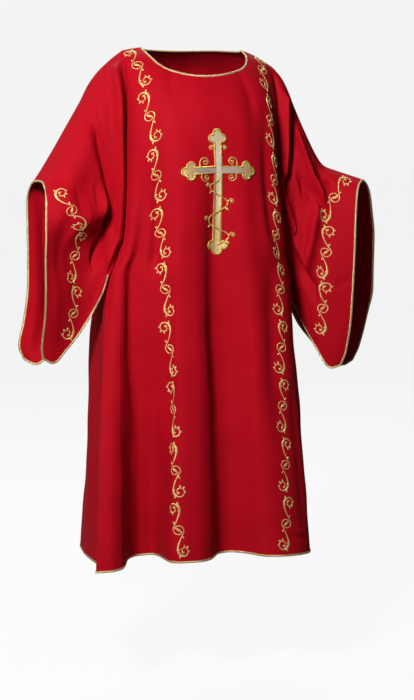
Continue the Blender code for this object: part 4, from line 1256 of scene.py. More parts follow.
def lay_on_sleeve(sleeve, side, line, centre, across, down, up, sign):
    """Places a flat scroll on a sleeve, its middle at a run down the band."""
    falls, alongs, run = line
    at = centre + down * sign
    fall, along = np.interp(at, run, falls), np.interp(at, run, alongs)
    nudge, step = 0.010, 0.002
    ahead, behind = at + step, at - step
    right = read_sleeve(sleeve, along + nudge, fall)[0]
    left = read_sleeve(sleeve, along - nudge, fall)[0]
    over = read_sleeve(sleeve, along, fall + nudge)[0]
    under = read_sleeve(sleeve, along, fall - nudge)[0]
    per_along, per_fall = (right - left) / (2 * nudge), (over - under) / (2 * nudge)
    gone_along = np.interp(ahead, run, alongs) - np.interp(behind, run, alongs)
    gone_fall = np.interp(ahead, run, falls) - np.interp(behind, run, falls)
    tangent = unit(per_along * gone_along[:, None] + per_fall * gone_fall[:, None])
    normal = read_sleeve(sleeve, along, fall)[1]
    aside = np.cross(normal, tangent) * (1 if side == "right" else -1)
    # aside is a step on the cloth: a of it along the sleeve and b of it down the fall
    aa, bb, ab = dot(per_along, per_along), dot(per_fall, per_fall), dot(per_along, per_fall)
    pa, pb = dot(per_along, aside), dot(per_fall, aside)
    det = aa * bb - ab * ab
    a, b = (pa * bb - pb * ab) / det, (pb * aa - pa * ab) / det
    spot_along, spot_fall = along + a * across, np.clip(fall + b * across, -1, 1)
    place, normal = read_sleeve(sleeve, spot_along, spot_fall)
    return place + normal * up[:, None]


# === the applied cross ===================================================================
BUD_ASIDE = 0.35  # how far the side buds stand beyond the shaft's edge, in radii
BUD_BEHIND = 1.3  # and how far behind the end bud
PLATE_STEPS, EDGE_STEPS = 16, 24  # places round each bud, in the plate and in its edge
PLATE_CUT = 0.006  # spacing of the cuts that let the plate follow the cloth
PLATE_REACH_X, PLATE_REACH_Y = (-0.09, 0.0901), (-0.204, 0.0961)  # where the cuts lie
PLATE_LIFT = 0.0002  # clear space between the plate and the cloth
PLATE_MERGE = 0.00001  # vertices of the plate closer than this are one
PAD_EDGE = 0.0045  # width of the rim in which the padding rises
PLATE_SHARP_ANGLE = math.radians(50)
BAR_MARGIN = 0.0005  # a face this near the bar's edge is still in the bar
BAR_END = 0.034  # the last part of each side arm, all of it in the bar's cloth
EDGE_INSET, EDGE_RADIUS = -0.0006, 0.0031  # the cord couched round the plate
THREAD_SIDES, THREAD_FLAT = 8, 0.8  # sides of a laid thread, and height over width
LEAF_FLAT = 0.6  # height over width of a leaf of the vine


def budded_cross(grow, steps):
    """The outline of a budded cross, grown or shrunk a little: three buds at each arm's end."""
    half, bud = CROSS_SHAFT / 2 + grow, CROSS_BUD + grow
    aside = CROSS_SHAFT / 2 + BUD_ASIDE * CROSS_BUD
    reach = (CROSS_WIDTH / 2, CROSS_BAR_DROP, CROSS_WIDTH / 2, CROSS_HEIGHT - CROSS_BAR_DROP)
    outline = []
    for quarter, length in enumerate(reach):
        tip = length - CROSS_BUD
        root = tip - BUD_BEHIND * CROSS_BUD
        leave = math.asin((aside - half) / bud)
        lens = math.acos(math.hypot(tip - root, aside) / 2 / bud)
        lean = math.atan2(aside, tip - root)
        arcs = (
            (root, -aside, -math.pi - leave, lean - lens),
            (tip, 0.0, lean - math.pi + lens, math.pi - lean - lens),
            (root, aside, -lean + lens, math.pi + leave),
        )
        corner = [(half, -half)]
        for x, y, low, high in arcs:
            for angle in np.linspace(low, high, steps):
                corner.append((x + bud * math.cos(angle), y + bud * math.sin(angle)))
        turn = quarter * math.pi / 2
        c, s = math.cos(turn), math.sin(turn)
        outline += [(x * c - y * s, x * s + y * c) for x, y in corner]
    return np.array(outline)


def lay_on_front(across, up_the_cloth, lift):
    """Places and normals on the front, at metres sideways of the cross's middle and above it."""
    down = CROSS_TOP_DOWN + CROSS_BAR_DROP - up_the_cloth
    places, normals = cloth_place(True, across, down)
    return places + normals * np.asarray(lift)[..., None], normals


def cross_plate(name, sizes):
    """The padded plate of the cross: a filled outline, cut into strips and laid on the cloth."""
    outline = budded_cross(0.0, PLATE_STEPS)
    plate = curve_mesh(
        name,
        outline,
        np.ones(len(outline)),
        True,
        dimensions="2D",
        fill_mode="BOTH",
        extrude=sizes.cross_thickness / 2,
    )
    bpy.ops.object.mode_set(mode="EDIT")
    bpy.ops.mesh.select_all(action="SELECT")
    bpy.ops.mesh.remove_doubles(threshold=PLATE_MERGE)
    cuts = [((x, 0, 0), (1, 0, 0)) for x in np.arange(*PLATE_REACH_X, PLATE_CUT)]
    cuts += [((0, y, 0), (0, 1, 0)) for y in np.arange(*PLATE_REACH_Y, PLATE_CUT)]
    for place, direction in cuts:
        bpy.ops.mesh.select_all(action="SELECT")
        bpy.ops.mesh.bisect(plane_co=place, plane_no=direction)
    bpy.ops.mesh.select_all(action="SELECT")
    bpy.ops.mesh.quads_convert_to_tris()
    bpy.ops.mesh.normals_make_consistent(inside=False)
    bpy.ops.object.mode_set(mode="OBJECT")
    mesh = plate.data
    flat = np.array([v.co[:] for v in mesh.vertices])
    gap = np.array([np.min(np.hypot(*(outline - p[:2]).T)) for p in flat])
    crown = sizes.cross_pad * ease(gap, 0.0, PAD_EDGE) * (flat[:, 2] > 0)
    lift = sizes.cross_thickness / 2 + flat[:, 2] + crown + PLATE_LIFT
    places = lay_on_front(flat[:, 0], flat[:, 1], lift)[0]
    set_uvs(mesh, flat[:, :2])
    mesh.vertices.foreach_set("co", places.astype(np.float32).ravel())
    mesh.materials.clear()
    mesh.materials.append(finish("lame_upright"))
    mesh.materials.append(finish("lame_crossbar"))
    half = CROSS_SHAFT / 2
    # faces in the bar take the darker copy of the pale cloth: painted shade where the threads run
    # across
    for face in mesh.polygons:
        x, y = np.abs(np.mean([flat[v][:2] for v in face.vertices], axis=0))
        in_bar = y < half + BAR_MARGIN and x > half - BAR_MARGIN
        face.material_index = 1 if in_bar or x > CROSS_WIDTH / 2 - BAR_END else 0
    mesh.shade_smooth()
    mesh.set_sharp_from_angle(angle=PLATE_SHARP_ANGLE)
    mesh.update()
    return plate


def laid_line(name, line, radii, closed, lift):
    """A round thread along a flat line on the front: line is (across, up the cloth)."""
    places, normals = lay_on_front(line[:, 0], line[:, 1], lift)
    aside = unit(np.cross(forward_along(places, closed), normals))
    turns = np.linspace(0, 2 * math.pi, THREAD_SIDES, endpoint=False)
    radii = np.broadcast_to(radii, len(line))[:, None]
    rings = (
        places[:, None]
        + aside[:, None] * (radii * np.cos(turns))[..., None]
        + normals[:, None] * (radii * THREAD_FLAT * np.sin(turns))[..., None]
    )
    return tube_piece(name, rings, closed, finish("edge_gold"))


def laid_leaf(name, x, y, points, length, half_width, lift):
    """A small raised leaf on the front, from a flattened ball."""
    leaf = new_leaf(x, y, points, length, half_width, LEAF_FLAT)
    flat = np.array([v.co[:] for v in leaf.data.vertices])
    places = lay_on_front(flat[:, 0], flat[:, 1], flat[:, 2] + lift)[0]
    leaf.data.vertices.foreach_set("co", places.astype(np.float32).ravel())
    leaf.data.materials.append(finish("thread_gold"))
    leaf.data.shade_smooth()
    leaf.data.update()
    leaf.name = name
    return leaf


# The vine's stem winds up the shaft from VINE_LOW through VINE_RISE, in two whole waves that
# narrow from VINE_SWING by VINE_NARROWING and end within the last VINE_FADE of it.
VINE_LOW, VINE_RISE, VINE_STEPS = -0.185, 0.165, 170
VINE_SWING, VINE_NARROWING, VINE_FADE = 0.0245, 0.0040, 0.12
VINE_WIDTHS = (0, 0.7), (0.08, 1.4), (0.9, 1.2), (1, 0.8)  # share of the way up, and width
VINE_THREAD = 0.00145  # radius of a vine that is 1 wide
VINE_LIFT = 0.0006
# Where the vine crosses the shaft or the bar it rises over it.
OVER_SHAFT, OVER_SHAFT_END, OVER_SHAFT_RAMP = 0.0040, 0.0145, 0.004
OVER_BAR, OVER_BAR_END = 0.0036, 0.0115
BEAD_RADIUS = 0.0027
# Each tendril starts straight, for STALK_STEPS, and then curls, tighter and tighter.
STALK_STEPS, STALK_STEP = 12, 0.055
TENDRIL_STEPS, TENDRIL_TIGHTENING, TENDRIL_TAPER = 64, 0.19, 0.75
TENDRILS = (
    # metres across and up from the middle, degrees, metres, turns (right turns below 0), width
    (0.0480, 0.0080, 92, 0.0140, 1.35, 1.25),
    (-0.0480, 0.0080, 88, 0.0140, -1.35, 1.25),
    (0.0450, -0.0080, -92, 0.0125, -1.30, 1.25),
    (-0.0450, -0.0080, -88, 0.0125, 1.30, 1.25),
    (0.0240, -0.1644, 74, 0.0080, -1.20, 1.00),
    (-0.0230, -0.1231, 106, 0.0082, 1.20, 1.00),
    (0.0220, -0.0819, 74, 0.0080, -1.20, 1.00),
    (-0.0210, -0.0406, 106, 0.0066, 1.20, 0.95),
    (0.0075, 0.0540, 42, 0.0075, -1.15, 1.00),
    (-0.0075, 0.0540, 138, 0.0075, 1.15, 1.00),
)
VINE_LEAVES = (
    # across, up the cloth, points (degrees), length, half width
    (0.0170, -0.1745, -40, 0.011, 0.0026),
    (-0.0163, -0.1335, 220, 0.011, 0.0026),
    (0.0156, -0.0925, -40, 0.011, 0.0026),
    (-0.0150, -0.0510, 220, 0.010, 0.0025),
)


def vine_lines():
    """A vine that winds up the shaft in even waves, with curls leaving it and the arms."""
    t = np.linspace(0, 1, VINE_STEPS)
    swing = (VINE_SWING - VINE_NARROWING * t) * np.sin(4 * math.pi * t)
    swing = swing * ease(1 - t, 0.0, VINE_FADE)
    stem = np.stack([swing, VINE_LOW + t * VINE_RISE], axis=1)
    lines = [(stem, np.interp(t, *zip(*VINE_WIDTHS)))]
    for across, start, heading, size, turns, width in TENDRILS:
        curl = np.linspace(0, abs(turns) * 2 * math.pi, TENDRIL_STEPS)
        angle = np.append(np.zeros(STALK_STEPS), curl)
        facing = math.radians(heading) + np.sign(turns) * angle
        steps = size * np.exp(-TENDRIL_TIGHTENING * angle) * angle[-1] / (TENDRIL_STEPS - 1)
        steps[:STALK_STEPS] = size * STALK_STEP
        steps[0] = 0
        line = [np.cumsum(steps * np.cos(facing)), np.cumsum(steps * np.sin(facing))]
        widths = np.interp(angle, [0, angle[-1]], [width, width * TENDRIL_TAPER])
        lines.append((np.stack(line, axis=1) + np.array([across, start]), widths))
    return lines


# === materials ===========================================================================
SOCKETS = {
    "vector": "NodeSocketVector",
    "number": "NodeSocketFloat",
    "colour": "NodeSocketColor",
}
THREADS_PER_SCALE = 0.314  # the wave node's scale that gives one thread in each metre
SLUB_SHARE, SLUB_STRETCH = 0.8, (1, 0.12, 1)  # height of the uneven threads, and their run
WEAR_AND_SHADE_FROM, WEAR_AND_SHADE_TO = 0.35, 0.70  # the noise at which the darker patches begin, and are full: wear on the cloth and the floor, painted shade on the gold
GOLD_CONTRAST, GOLD_LESS, GOLD_MOST = 2.2, 0.36, 0.9  # how patchy the golden threads are
THREAD_DEPTH = 0.5  # depth of a gold thread's turns, over their pitch
FLOOR_WEAR = 0.97  # the floor's darker patches, over its colour
FLOOR_BOUNCE = (0.2, 0.2, 0.2, 1)  # the floor's colour to all but the camera
FLOOR_GLOW = 0.88  # how much of the floor that the camera sees is plain white


def feed(tree, socket, value):
    """Gives a socket a value, or a link where the value is another node's output."""
    if isinstance(value, bpy.types.NodeSocket):
        tree.links.new(value, socket)
    else:
        socket.default_value = value


def add_node(tree, kind, inputs=(), **settings):
    """A new shader node with its settings, its inputs fed by name or by number."""
    node = tree.nodes.new("ShaderNode" + kind)
    for name, value in settings.items():
        setattr(node, name, value)
    for name, value in dict(inputs).items():
        feed(tree, node.inputs[name], value)
    return node


def math_node(tree, operation, *values, **settings):
    """The result of a calculation on numbers and on other nodes' outputs."""
    return add_node(tree, "Math", enumerate(values), operation=operation, **settings).outputs[0]


def mix_node(tree, factor, first, second, **settings):
    """Two colours mixed: the factor is the second one's share."""
    inputs = {"Factor": factor, "A": first, "B": second}
    return add_node(tree, "Mix", inputs, data_type="RGBA", **settings).outputs["Result"]


def noise_node(tree, vector, size, fineness, detail=2.0):
    """Soft noise in patches of about the size, or finer by a factor."""
    scale = math_node(tree, "DIVIDE", fineness, size)
    inputs = {"Vector": vector, "Scale": scale, "Detail": detail}
    return add_node(tree, "TexNoise", inputs).outputs["Fac"]


def wave_node(tree, vector, pitch, direction, distortion):
    """Slightly uneven threads side by side, one for each pitch."""
    inputs = {
        "Vector": vector,
        "Scale": math_node(tree, "DIVIDE", THREADS_PER_SCALE, pitch),
        "Distortion": distortion,
        "Detail": 2,
    }
    return add_node(tree, "TexWave", inputs, bands_direction=direction).outputs["Fac"]


def group_tree(name, inputs, outputs):
    """A new shader node group, and what it takes and gives; both are (name, kind, default)."""
    tree = bpy.data.node_groups.new(name, "ShaderNodeTree")
    for way, sockets in (("INPUT", inputs), ("OUTPUT", outputs)):
        for label, kind, *default in sockets:
            socket = tree.interface.new_socket(label, in_out=way, socket_type=SOCKETS[kind])
            if default:
                socket.default_value = default[0]
    given, put = tree.nodes.new("NodeGroupInput"), tree.nodes.new("NodeGroupOutput")
    return tree, given.outputs, put.inputs


def plain_weave_group():
    """Threads over and under: Height for the bump, Slub for uneven threads."""
    tree, given, put = group_tree(
        "plain_weave",
        [
            ("Vector", "vector"),
            ("Thread Pitch", "number", 0.0006),
            ("Slub Size", "number", 0.03),
        ],
        [("Height", "number"), ("Slub", "number")],
    )
    split = add_node(tree, "SeparateXYZ", {0: given["Vector"]})
    waves = []
    for axis in "XY":
        share = math_node(tree, "DIVIDE", split.outputs[axis], given["Thread Pitch"])
        waves.append(math_node(tree, "SINE", math_node(tree, "MULTIPLY", share, math.pi)))
    woven = math_node(tree, "MULTIPLY", *waves)
    stretch = {0: given["Vector"], 1: SLUB_STRETCH}
    long_patches = add_node(tree, "VectorMath", stretch, operation="MULTIPLY").outputs[0]
    slub = noise_node(tree, long_patches, given["Slub Size"], 10.0, 4)
    feed(tree, put["Height"], math_node(tree, "MULTIPLY_ADD", slub, SLUB_SHARE, woven))
    feed(tree, put["Slub"], slub)
    return tree


def wear_and_shade_group():
    """Large soft patches of a darker colour: wear on the cloth and the floor, painted shade on the
    gold. Colour is the lighter colour with the darker one in its patches, and the other output is
    their mask.
    """
    tree, given, put = group_tree(
        "wear_and_shade",
        [
            ("Vector", "vector"),
            ("Lighter", "colour", (1, 1, 1, 1)),
            ("Worn And Shaded", "colour", (0.8, 0.8, 0.8, 1)),
            ("Patch Size", "number", 0.2),
            ("Amount", "number", 0.5),
        ],
        [("Colour", "colour"), ("Fade", "number")],
    )
    noise = noise_node(tree, given["Vector"], given["Patch Size"], 1.0, 3)
    ramp = {"Value": noise, "From Min": WEAR_AND_SHADE_FROM, "From Max": WEAR_AND_SHADE_TO}
    mask = add_node(tree, "MapRange", ramp)
    fade = math_node(tree, "MULTIPLY", mask.outputs[0], given["Amount"])
    feed(tree, put["Colour"], mix_node(tree, fade, given["Lighter"], given["Worn And Shaded"]))
    feed(tree, put["Fade"], fade)
    return tree


def metal_thread_group():
    """Slanted turns of gold thread: Height for the bump, Glint for the roughness and for a
    highlight painted into the colour.
    """
    tree, given, put = group_tree(
        "metal_thread",
        [
            ("Vector", "vector"),
            ("Thread Pitch", "number", 0.0008),
            ("Slant", "number", 0.7),
        ],
        [("Height", "number"), ("Glint", "number")],
    )
    slant = add_node(tree, "CombineXYZ", {"Y": given["Slant"], "Z": given["Slant"]}).outputs[0]
    turn = {"Vector": given["Vector"], "Rotation": slant}
    turned = add_node(tree, "VectorRotate", turn, rotation_type="EULER_XYZ").outputs[0]
    threads = wave_node(tree, turned, given["Thread Pitch"], "X", 1.2)
    noise = noise_node(tree, given["Vector"], given["Thread Pitch"], 0.12)
    feed(tree, put["Height"], threads)
    feed(tree, put["Glint"], math_node(tree, "MULTIPLY", threads, noise))
    return tree


def woven_lame_group():
    """Silver and gold threads side by side: Share says how many of them are gold."""
    tree, given, put = group_tree(
        "woven_lame",
        [
            ("Vector", "vector"),
            ("Thread Pitch", "number", 0.0016),
            ("Share", "number", 0.3),
            ("Silver", "colour"),
            ("Golden", "colour"),
        ],
        [("Colour", "colour"), ("Height", "number")],
    )
    rows = wave_node(tree, given["Vector"], given["Thread Pitch"], "Y", 6.0)
    noise = noise_node(tree, given["Vector"], given["Thread Pitch"], 0.35)
    mottled = math_node(tree, "MULTIPLY", rows, noise)
    golden = math_node(tree, "MULTIPLY_ADD", mottled, GOLD_CONTRAST, given["Share"])
    golden = math_node(tree, "SUBTRACT", golden, GOLD_LESS, use_clamp=True)
    feed(tree, put["Colour"], mix_node(tree, golden, given["Silver"], given["Golden"]))
    feed(tree, put["Height"], rows)
    return tree


@cache
def built(maker):
    """A node group by its maker; each group is built once."""
    return maker()


def group_node(tree, maker, inputs):
    """Places a node group in a material and returns its outputs."""
    return add_node(tree, "Group", inputs, node_tree=built(maker)).outputs


def start_material(name):
    made = bpy.data.materials.new(name)
    made.use_nodes = True
    tree = made.node_tree
    return made, tree, tree.nodes["Principled BSDF"]


def shade(tree, shader, settings, height=None, distance=0, strength=0):
    """Feeds a material's shader, and bumps it by a height where there is one."""
    for name, value in settings.items():
        feed(tree, shader.inputs[name], value)
    if height is not None:
        inputs = {"Distance": distance, "Strength": strength, "Height": height}
        feed(tree, shader.inputs["Normal"], add_node(tree, "Bump", inputs).outputs["Normal"])


def cloth_map(tree):
    return add_node(tree, "UVMap", uv_map="cloth").outputs["UV"]


def opaque(colour):
    return (*colour, 1)


def red_cloth(name, fresh, worn):
    made, tree, shader = start_material(name)
    where = cloth_map(tree)
    weave = group_node(tree, plain_weave_group, {"Vector": where, "Thread Pitch": 0.0007})
    wear_and_shade_inputs = {"Vector": where, "Lighter": fresh, "Worn And Shaded": worn, "Patch Size": 0.16, "Amount": 0.35}
    wear_and_shade_colour = group_node(tree, wear_and_shade_group, wear_and_shade_inputs)["Colour"]
    settings = {
        "Base Color": mix_node(tree, 0.16, wear_and_shade_colour, weave["Slub"], blend_type="MULTIPLY"),
        "Roughness": math_node(tree, "MULTIPLY_ADD", weave["Slub"], 0.14, 0.56),
        "Specular IOR Level": 0.05,
        "Sheen Weight": 0.03,
        "Sheen Roughness": 0.4,
        "Sheen Tint": (1.0, 0.25, 0.25, 1),
    }
    shade(tree, shader, settings, weave["Height"], 0.0002, 0.35)
    return made


def gold(name, light, deep, pitch, metallic, roughness, on_map=False):
    """Gold thread: a highlight painted on its turns, and between them painted shade in small
    patches of its deeper colour.
    """
    made, tree, shader = start_material(name)
    where = cloth_map(tree) if on_map else add_node(tree, "TexCoord").outputs["Object"]
    thread = group_node(tree, metal_thread_group, {"Vector": where, "Thread Pitch": pitch})
    # small patches of the deeper gold: painted shade
    wear_and_shade_inputs = {"Vector": where, "Lighter": light, "Worn And Shaded": deep, "Patch Size": 0.012, "Amount": 0.7}
    wear_and_shade_colour = group_node(tree, wear_and_shade_group, wear_and_shade_inputs)["Colour"]
    settings = {
        # the glint lightens the colour on the turns: a painted highlight
        "Base Color": mix_node(tree, thread["Glint"], wear_and_shade_colour, light),
        "Roughness": math_node(tree, "MULTIPLY_ADD", thread["Glint"], -0.15, roughness),
        "Metallic": metallic,
    }
    shade(tree, shader, settings, thread["Height"], pitch * THREAD_DEPTH, 0.6)
    return made


def lame(name, silver, golden, axis, low, high):
    """Pale lame: silver threads that turn golden from low to high along the axis."""
    made, tree, shader = start_material(name)
    where = cloth_map(tree)
    apart = add_node(tree, "SeparateXYZ", {0: where}).outputs[axis]
    along = math_node(tree, "ABSOLUTE", apart)
    ramp = {"Value": along, "From Min": low, "From Max": high, "To Max": GOLD_MOST}
    share = add_node(tree, "MapRange", ramp).outputs["Result"]
    inputs = {"Vector": where, "Share": share, "Silver": silver, "Golden": golden}
    woven = group_node(tree, woven_lame_group, inputs)
    settings = {"Base Color": woven["Colour"], "Roughness": 0.45, "Metallic": 0.35}
    shade(tree, shader, settings, woven["Height"], 0.0004, 0.6)
    return made


def plain_floor(name, colour):
    """A floor that looks pale and even to the camera, and throws little light back."""
    made, tree, shader = start_material(name)
    where = add_node(tree, "TexCoord").outputs["Object"]
    darker = opaque(FLOOR_WEAR * c for c in colour[:3])
    wear_and_shade_inputs = {"Vector": where, "Lighter": colour, "Worn And Shaded": darker, "Patch Size": 1.5}
    wear_and_shade_colour = group_node(tree, wear_and_shade_group, wear_and_shade_inputs)["Colour"]
    seen = add_node(tree, "LightPath").outputs["Is Camera Ray"]
    settings = {
        "Base Color": mix_node(tree, seen, FLOOR_BOUNCE, wear_and_shade_colour),
        "Roughness": 0.8,
        "Specular IOR Level": 0.0,
    }
    shade(tree, shader, settings)
    glow = add_node(tree, "Emission", {"Strength": 1.0}).outputs["Emission"]
    share = math_node(tree, "MULTIPLY", seen, FLOOR_GLOW)
    mixed = add_node(tree, "MixShader", {"Fac": share, 1: shader.outputs["BSDF"], 2: glow})
    surface = tree.nodes["Material Output"].inputs["Surface"]
    tree.links.new(mixed.outputs["Shader"], surface)
    return made


FINISHES = {
    # the maker, its colours and its settings
    "red_cloth_fine": (red_cloth, ("cloth", "cloth_shade"), {}),
    "cord_gold": (
        gold,
        ("cord_light", "cord_deep"),
        {"pitch": 0.0016, "metallic": 0.55, "roughness": 0.42, "on_map": True},
    ),
    "thread_gold": (
        gold,
        ("thread_light", "thread_deep"),
        {"pitch": 0.0009, "metallic": 0.45, "roughness": 0.40},
    ),
    "edge_gold": (
        gold,
        ("edge_light", "edge_deep"),
        {"pitch": 0.0009, "metallic": 0.6, "roughness": 0.38},
    ),
    "lame_upright": (lame, ("lame_light", "lame_deep"), {"axis": "Y", "low": 0.04, "high": 0.13}),
    # the crossbar: the upright's pale cloth with painted shade, darker where its threads run
    # across
    "lame_crossbar": (lame, ("lame_bar_shaded", "lame_deep"), {"axis": "X", "low": 0.045, "high": 0.075}),
    "pale_floor": (plain_floor, ("floor",), {}),
}


@cache
def finish(name):
    """A finish by its name; each material is made once."""
    maker, colour_names, settings = FINISHES[name]
    colours = bpy.context.scene.dalmatic_colours
    return maker(name, *(opaque(getattr(colours, one)) for one in colour_names), **settings)


# === properties ==========================================================================
def length_property(label, description, default):
    return bpy.props.FloatProperty(
        name=label, description=description, default=default, min=0, unit="LENGTH", precision=4
    )


def colour_property(label, description, default):
    return bpy.props.FloatVectorProperty(
        name=label, description=description, default=default, size=3, min=0, max=1, subtype="COLOR"
    )


class DalmaticSizes(bpy.types.PropertyGroup):
    cord_width: length_property("Cord width", "Across the cord that binds the edges", 0.0056)
    cord_thickness: length_property("Cord thickness", "Through the cord", 0.0040)
    cord_pitch: length_property("Cord twist", "Length of one half turn of the cord", 0.0075)
    cord_step: length_property(
        "Cord step", "Length of cord between two rings of its mesh", 0.0012
    )
    cord_sides: bpy.props.IntProperty(
        name="Cord sides", description="Sides of the cord's mesh", default=10, min=4
    )
    scroll_pitch: length_property("Scroll pitch", "From one scroll to the next", 0.1475)
    scroll_first: length_property(
        "First scroll", "Shoulder seam to the first scroll's middle", 0.077
    )
    band_pitch: length_property("Band pitch", "From one scroll to the next on a sleeve", 0.142)
    band_first_right: length_property(
        "Band start, right", "Top of the right arm to the first scroll's middle", 0.166
    )
    band_first_left: length_property(
        "Band start, left", "Top of the left arm to the first scroll's middle", 0.083
    )
    thread: length_property("Thread", "Width of the embroidered line", 0.0023)
    raised: bpy.props.FloatProperty(
        name="Raised", description="Height of the stitches over their width", default=0.55, min=0
    )
    cross_thickness: length_property("Cross thickness", "Edge of the applied cross", 0.0014)
    cross_pad: length_property(
        "Cross padding", "How far the cross swells in its middle", 0.0012
    )


class DalmaticColours(bpy.types.PropertyGroup):
    cloth: colour_property("Cloth", "The red cloth", (0.480, 0.0032, 0.0125))
    cloth_shade: colour_property(
        "Cloth, deeper", "The red cloth where it is deeper", (0.385, 0.0022, 0.0095)
    )
    # The deeper golds are painted shade, laid in patches over the lighter ones; the lighter ones
    # also take a painted highlight on the turns.
    cord_light: colour_property("Cord", "The cord's bright turns", (0.74, 0.60, 0.29))
    cord_deep: colour_property("Cord, deeper", "The cord between its turns", (0.40, 0.28, 0.09))
    thread_light: colour_property("Thread", "Embroidery thread", (0.93, 0.74, 0.30))
    thread_deep: colour_property(
        "Thread, deeper", "Embroidery thread in shade", (0.60, 0.39, 0.07)
    )
    edge_light: colour_property("Edge", "Edge of the cross and the vine", (0.86, 0.59, 0.15))
    edge_deep: colour_property("Edge, deeper", "Edge and vine in shade", (0.50, 0.29, 0.04))
    lame_light: colour_property("Pale cloth", "The cross's upright", (0.88, 0.78, 0.66))
    lame_deep: colour_property("Pale cloth, deeper", "Its golden threads", (0.66, 0.41, 0.13))
    # the bar's pale cloth is darker than the upright's: painted shade for threads that run across
    lame_bar_shaded: colour_property("Pale cloth, across", "The cross's bar", (0.50, 0.41, 0.40))
    floor: colour_property("Floor", "The studio floor", (0.86, 0.86, 0.86))


# === operators ===========================================================================
def settle(piece, slot, *nodes):
    """Puts a finished piece on the garment: attaches it to its body and hides the nodes it
    replaces; slot is not used.
    """
    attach(piece, BODY)
    if nodes:
        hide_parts(*nodes)


def lay_cloth(name, panel, uvs, facing, node):
    """Makes a piece of the red cloth, in the place of a node."""
    piece = sheet_piece(name, panel, uvs, facing)
    piece.data.materials.append(finish("red_cloth_fine"))
    settle(piece, "red_cloth", node)
    return piece


def bind(name, edge, closed, sizes):
    """Binds an edge with a cord.

    edge is a list of (panel, row, column, inner row, inner column): a place on the edge, and
    the one beside it, inside the cloth.
    """
    path = np.array([panel.grid[i, j] for panel, i, j, _, _ in edge])
    normal = np.array([panel.own_normal[i, j] for panel, i, j, _, _ in edge])
    cloth = np.array([panel.grid[i, j] for panel, _, _, i, j in edge])
    piece = cord_piece(name, path, normal, cloth, closed, sizes)
    settle(piece, "gold_braid", name.replace("cord", "braid"))


class DALMATIC_OT_body(bpy.types.Operator):
    """Make the front and the back as fine cloth"""

    bl_idname = "dalmatic.body"
    bl_label = "Front and back"

    def execute(self, context):
        front, back, _ = garment()
        for side, panel, facing in (("front", front, 1), ("back", back, -1)):
            uvs = body_uvs(panel is front)
            piece = lay_cloth(side + "_cloth", panel, uvs, facing, side + "_panel")
            hem = np.linalg.norm(np.diff(panel.grid[-1], axis=0), axis=-1).sum()
            grid_area(panel.grid)
        return {"FINISHED"}


class DALMATIC_OT_sleeves(bpy.types.Operator):
    """Make both sleeves as fine cloth, each folded over the arm and open under it"""

    bl_idname = "dalmatic.sleeves"
    bl_label = "Sleeves"

    def execute(self, context):
        for side, sleeve, facing in zip(("right", "left"), garment()[2], (1, -1)):
            uvs = sleeve_uvs(sleeve)
            piece = lay_cloth("sleeve_cloth_" + side, sleeve, uvs, facing, "sleeve_" + side)
            wide = np.linalg.norm(np.diff(sleeve.grid, axis=1), axis=-1).sum(axis=1).max()
            long = np.linalg.norm(np.diff(sleeve.grid, axis=0), axis=-1).sum(axis=0).max()
            grid_area(sleeve.grid)
        return {"FINISHED"}


class DALMATIC_OT_cords(bpy.types.Operator):
    """Bind the neck, the hem and the free edges of both sleeves with a twisted gold cord"""

    bl_idname = "dalmatic.cords"
    bl_label = "Edge cords"

    def execute(self, context):
        sizes = context.scene.dalmatic_sizes
        front, back, sleeves = garment()
        columns = front.grid.shape[1]
        neck = np.arange(SHOULDER_COLUMNS, columns - SHOULDER_COLUMNS)
        edge = [(front, 0, j, 1, j) for j in neck]
        edge += [(back, 0, j, 1, j) for j in neck[-2:0:-1]]
        bind("neck_cord", edge, True, sizes)
        edge = [(front, -1, j, -2, j) for j in range(columns)]
        edge += [(back, -1, j, -2, j) for j in range(columns - 2, 0, -1)]
        bind("hem_cord", edge, True, sizes)
        for side, sleeve in zip(("right", "left"), sleeves):
            rows, steps = sleeve.grid.shape[:2]
            edge = [(sleeve, 0, s, 1, s) for s in range(1, steps - 1)]
            edge += [(sleeve, 0, steps - 1, 1, steps - 2)]
            edge += [(sleeve, r, steps - 1, r, steps - 2) for r in range(1, rows - 1)]
            edge += [(sleeve, rows - 1, steps - 1, rows - 2, steps - 2)]
            edge += [(sleeve, rows - 1, s, rows - 2, s) for s in range(steps - 2, 0, -1)]
            bind("sleeve_cord_" + side, edge, False, sizes)
        return {"FINISHED"}


class DALMATIC_OT_scrolls(bpy.types.Operator):
    """Embroider the two columns of scrolls on the front and on the back"""

    bl_idname = "dalmatic.scrolls"
    bl_label = "Scroll columns"

    def execute(self, context):
        sizes = context.scene.dalmatic_sizes
        flat, faces = flat_scroll(sizes)
        count = 1 + int((BODY_LENGTH - sizes.scroll_first) / sizes.scroll_pitch)
        for front in (True, False):
            for side, flip in (("right", 1), ("left", -1)):

                def lay(k, across, down, up):
                    centre = sizes.scroll_first + k * sizes.scroll_pitch
                    at = centre + down
                    line = smooth(COLUMN_LINES, LINE_COLUMNS, "down", side, at)
                    places, normals = cloth_place(front, line + across, at)
                    return places + normals * up[:, None]

                name = f"scrolls_{'front' if front else 'back'}_{side}"
                repeated(name, flat, faces, [flip] * count, lay)
        return {"FINISHED"}


class DALMATIC_OT_bands(bpy.types.Operator):
    """Embroider the band of scrolls near each cuff"""

    bl_idname = "dalmatic.bands"
    bl_label = "Sleeve bands"

    def execute(self, context):
        sizes = context.scene.dalmatic_sizes
        flat, faces = flat_scroll(sizes)
        firsts = (sizes.band_first_right, sizes.band_first_left)
        for side, sleeve, first, flip in zip(("right", "left"), garment()[2], firsts, (1, -1)):
            line = band_line(side)

            def lay(k, across, down, up):
                sign = -1 if k < BAND_SCROLLS else 1
                centre = sign * (first + (k % BAND_SCROLLS) * sizes.band_pitch)
                return lay_on_sleeve(sleeve, side, line, centre, across, down, up, sign)

            flips = [flip] * BAND_SCROLLS + [-flip] * BAND_SCROLLS
            repeated("scrolls_sleeve_" + side, flat, faces, flips, lay)
        return {"FINISHED"}


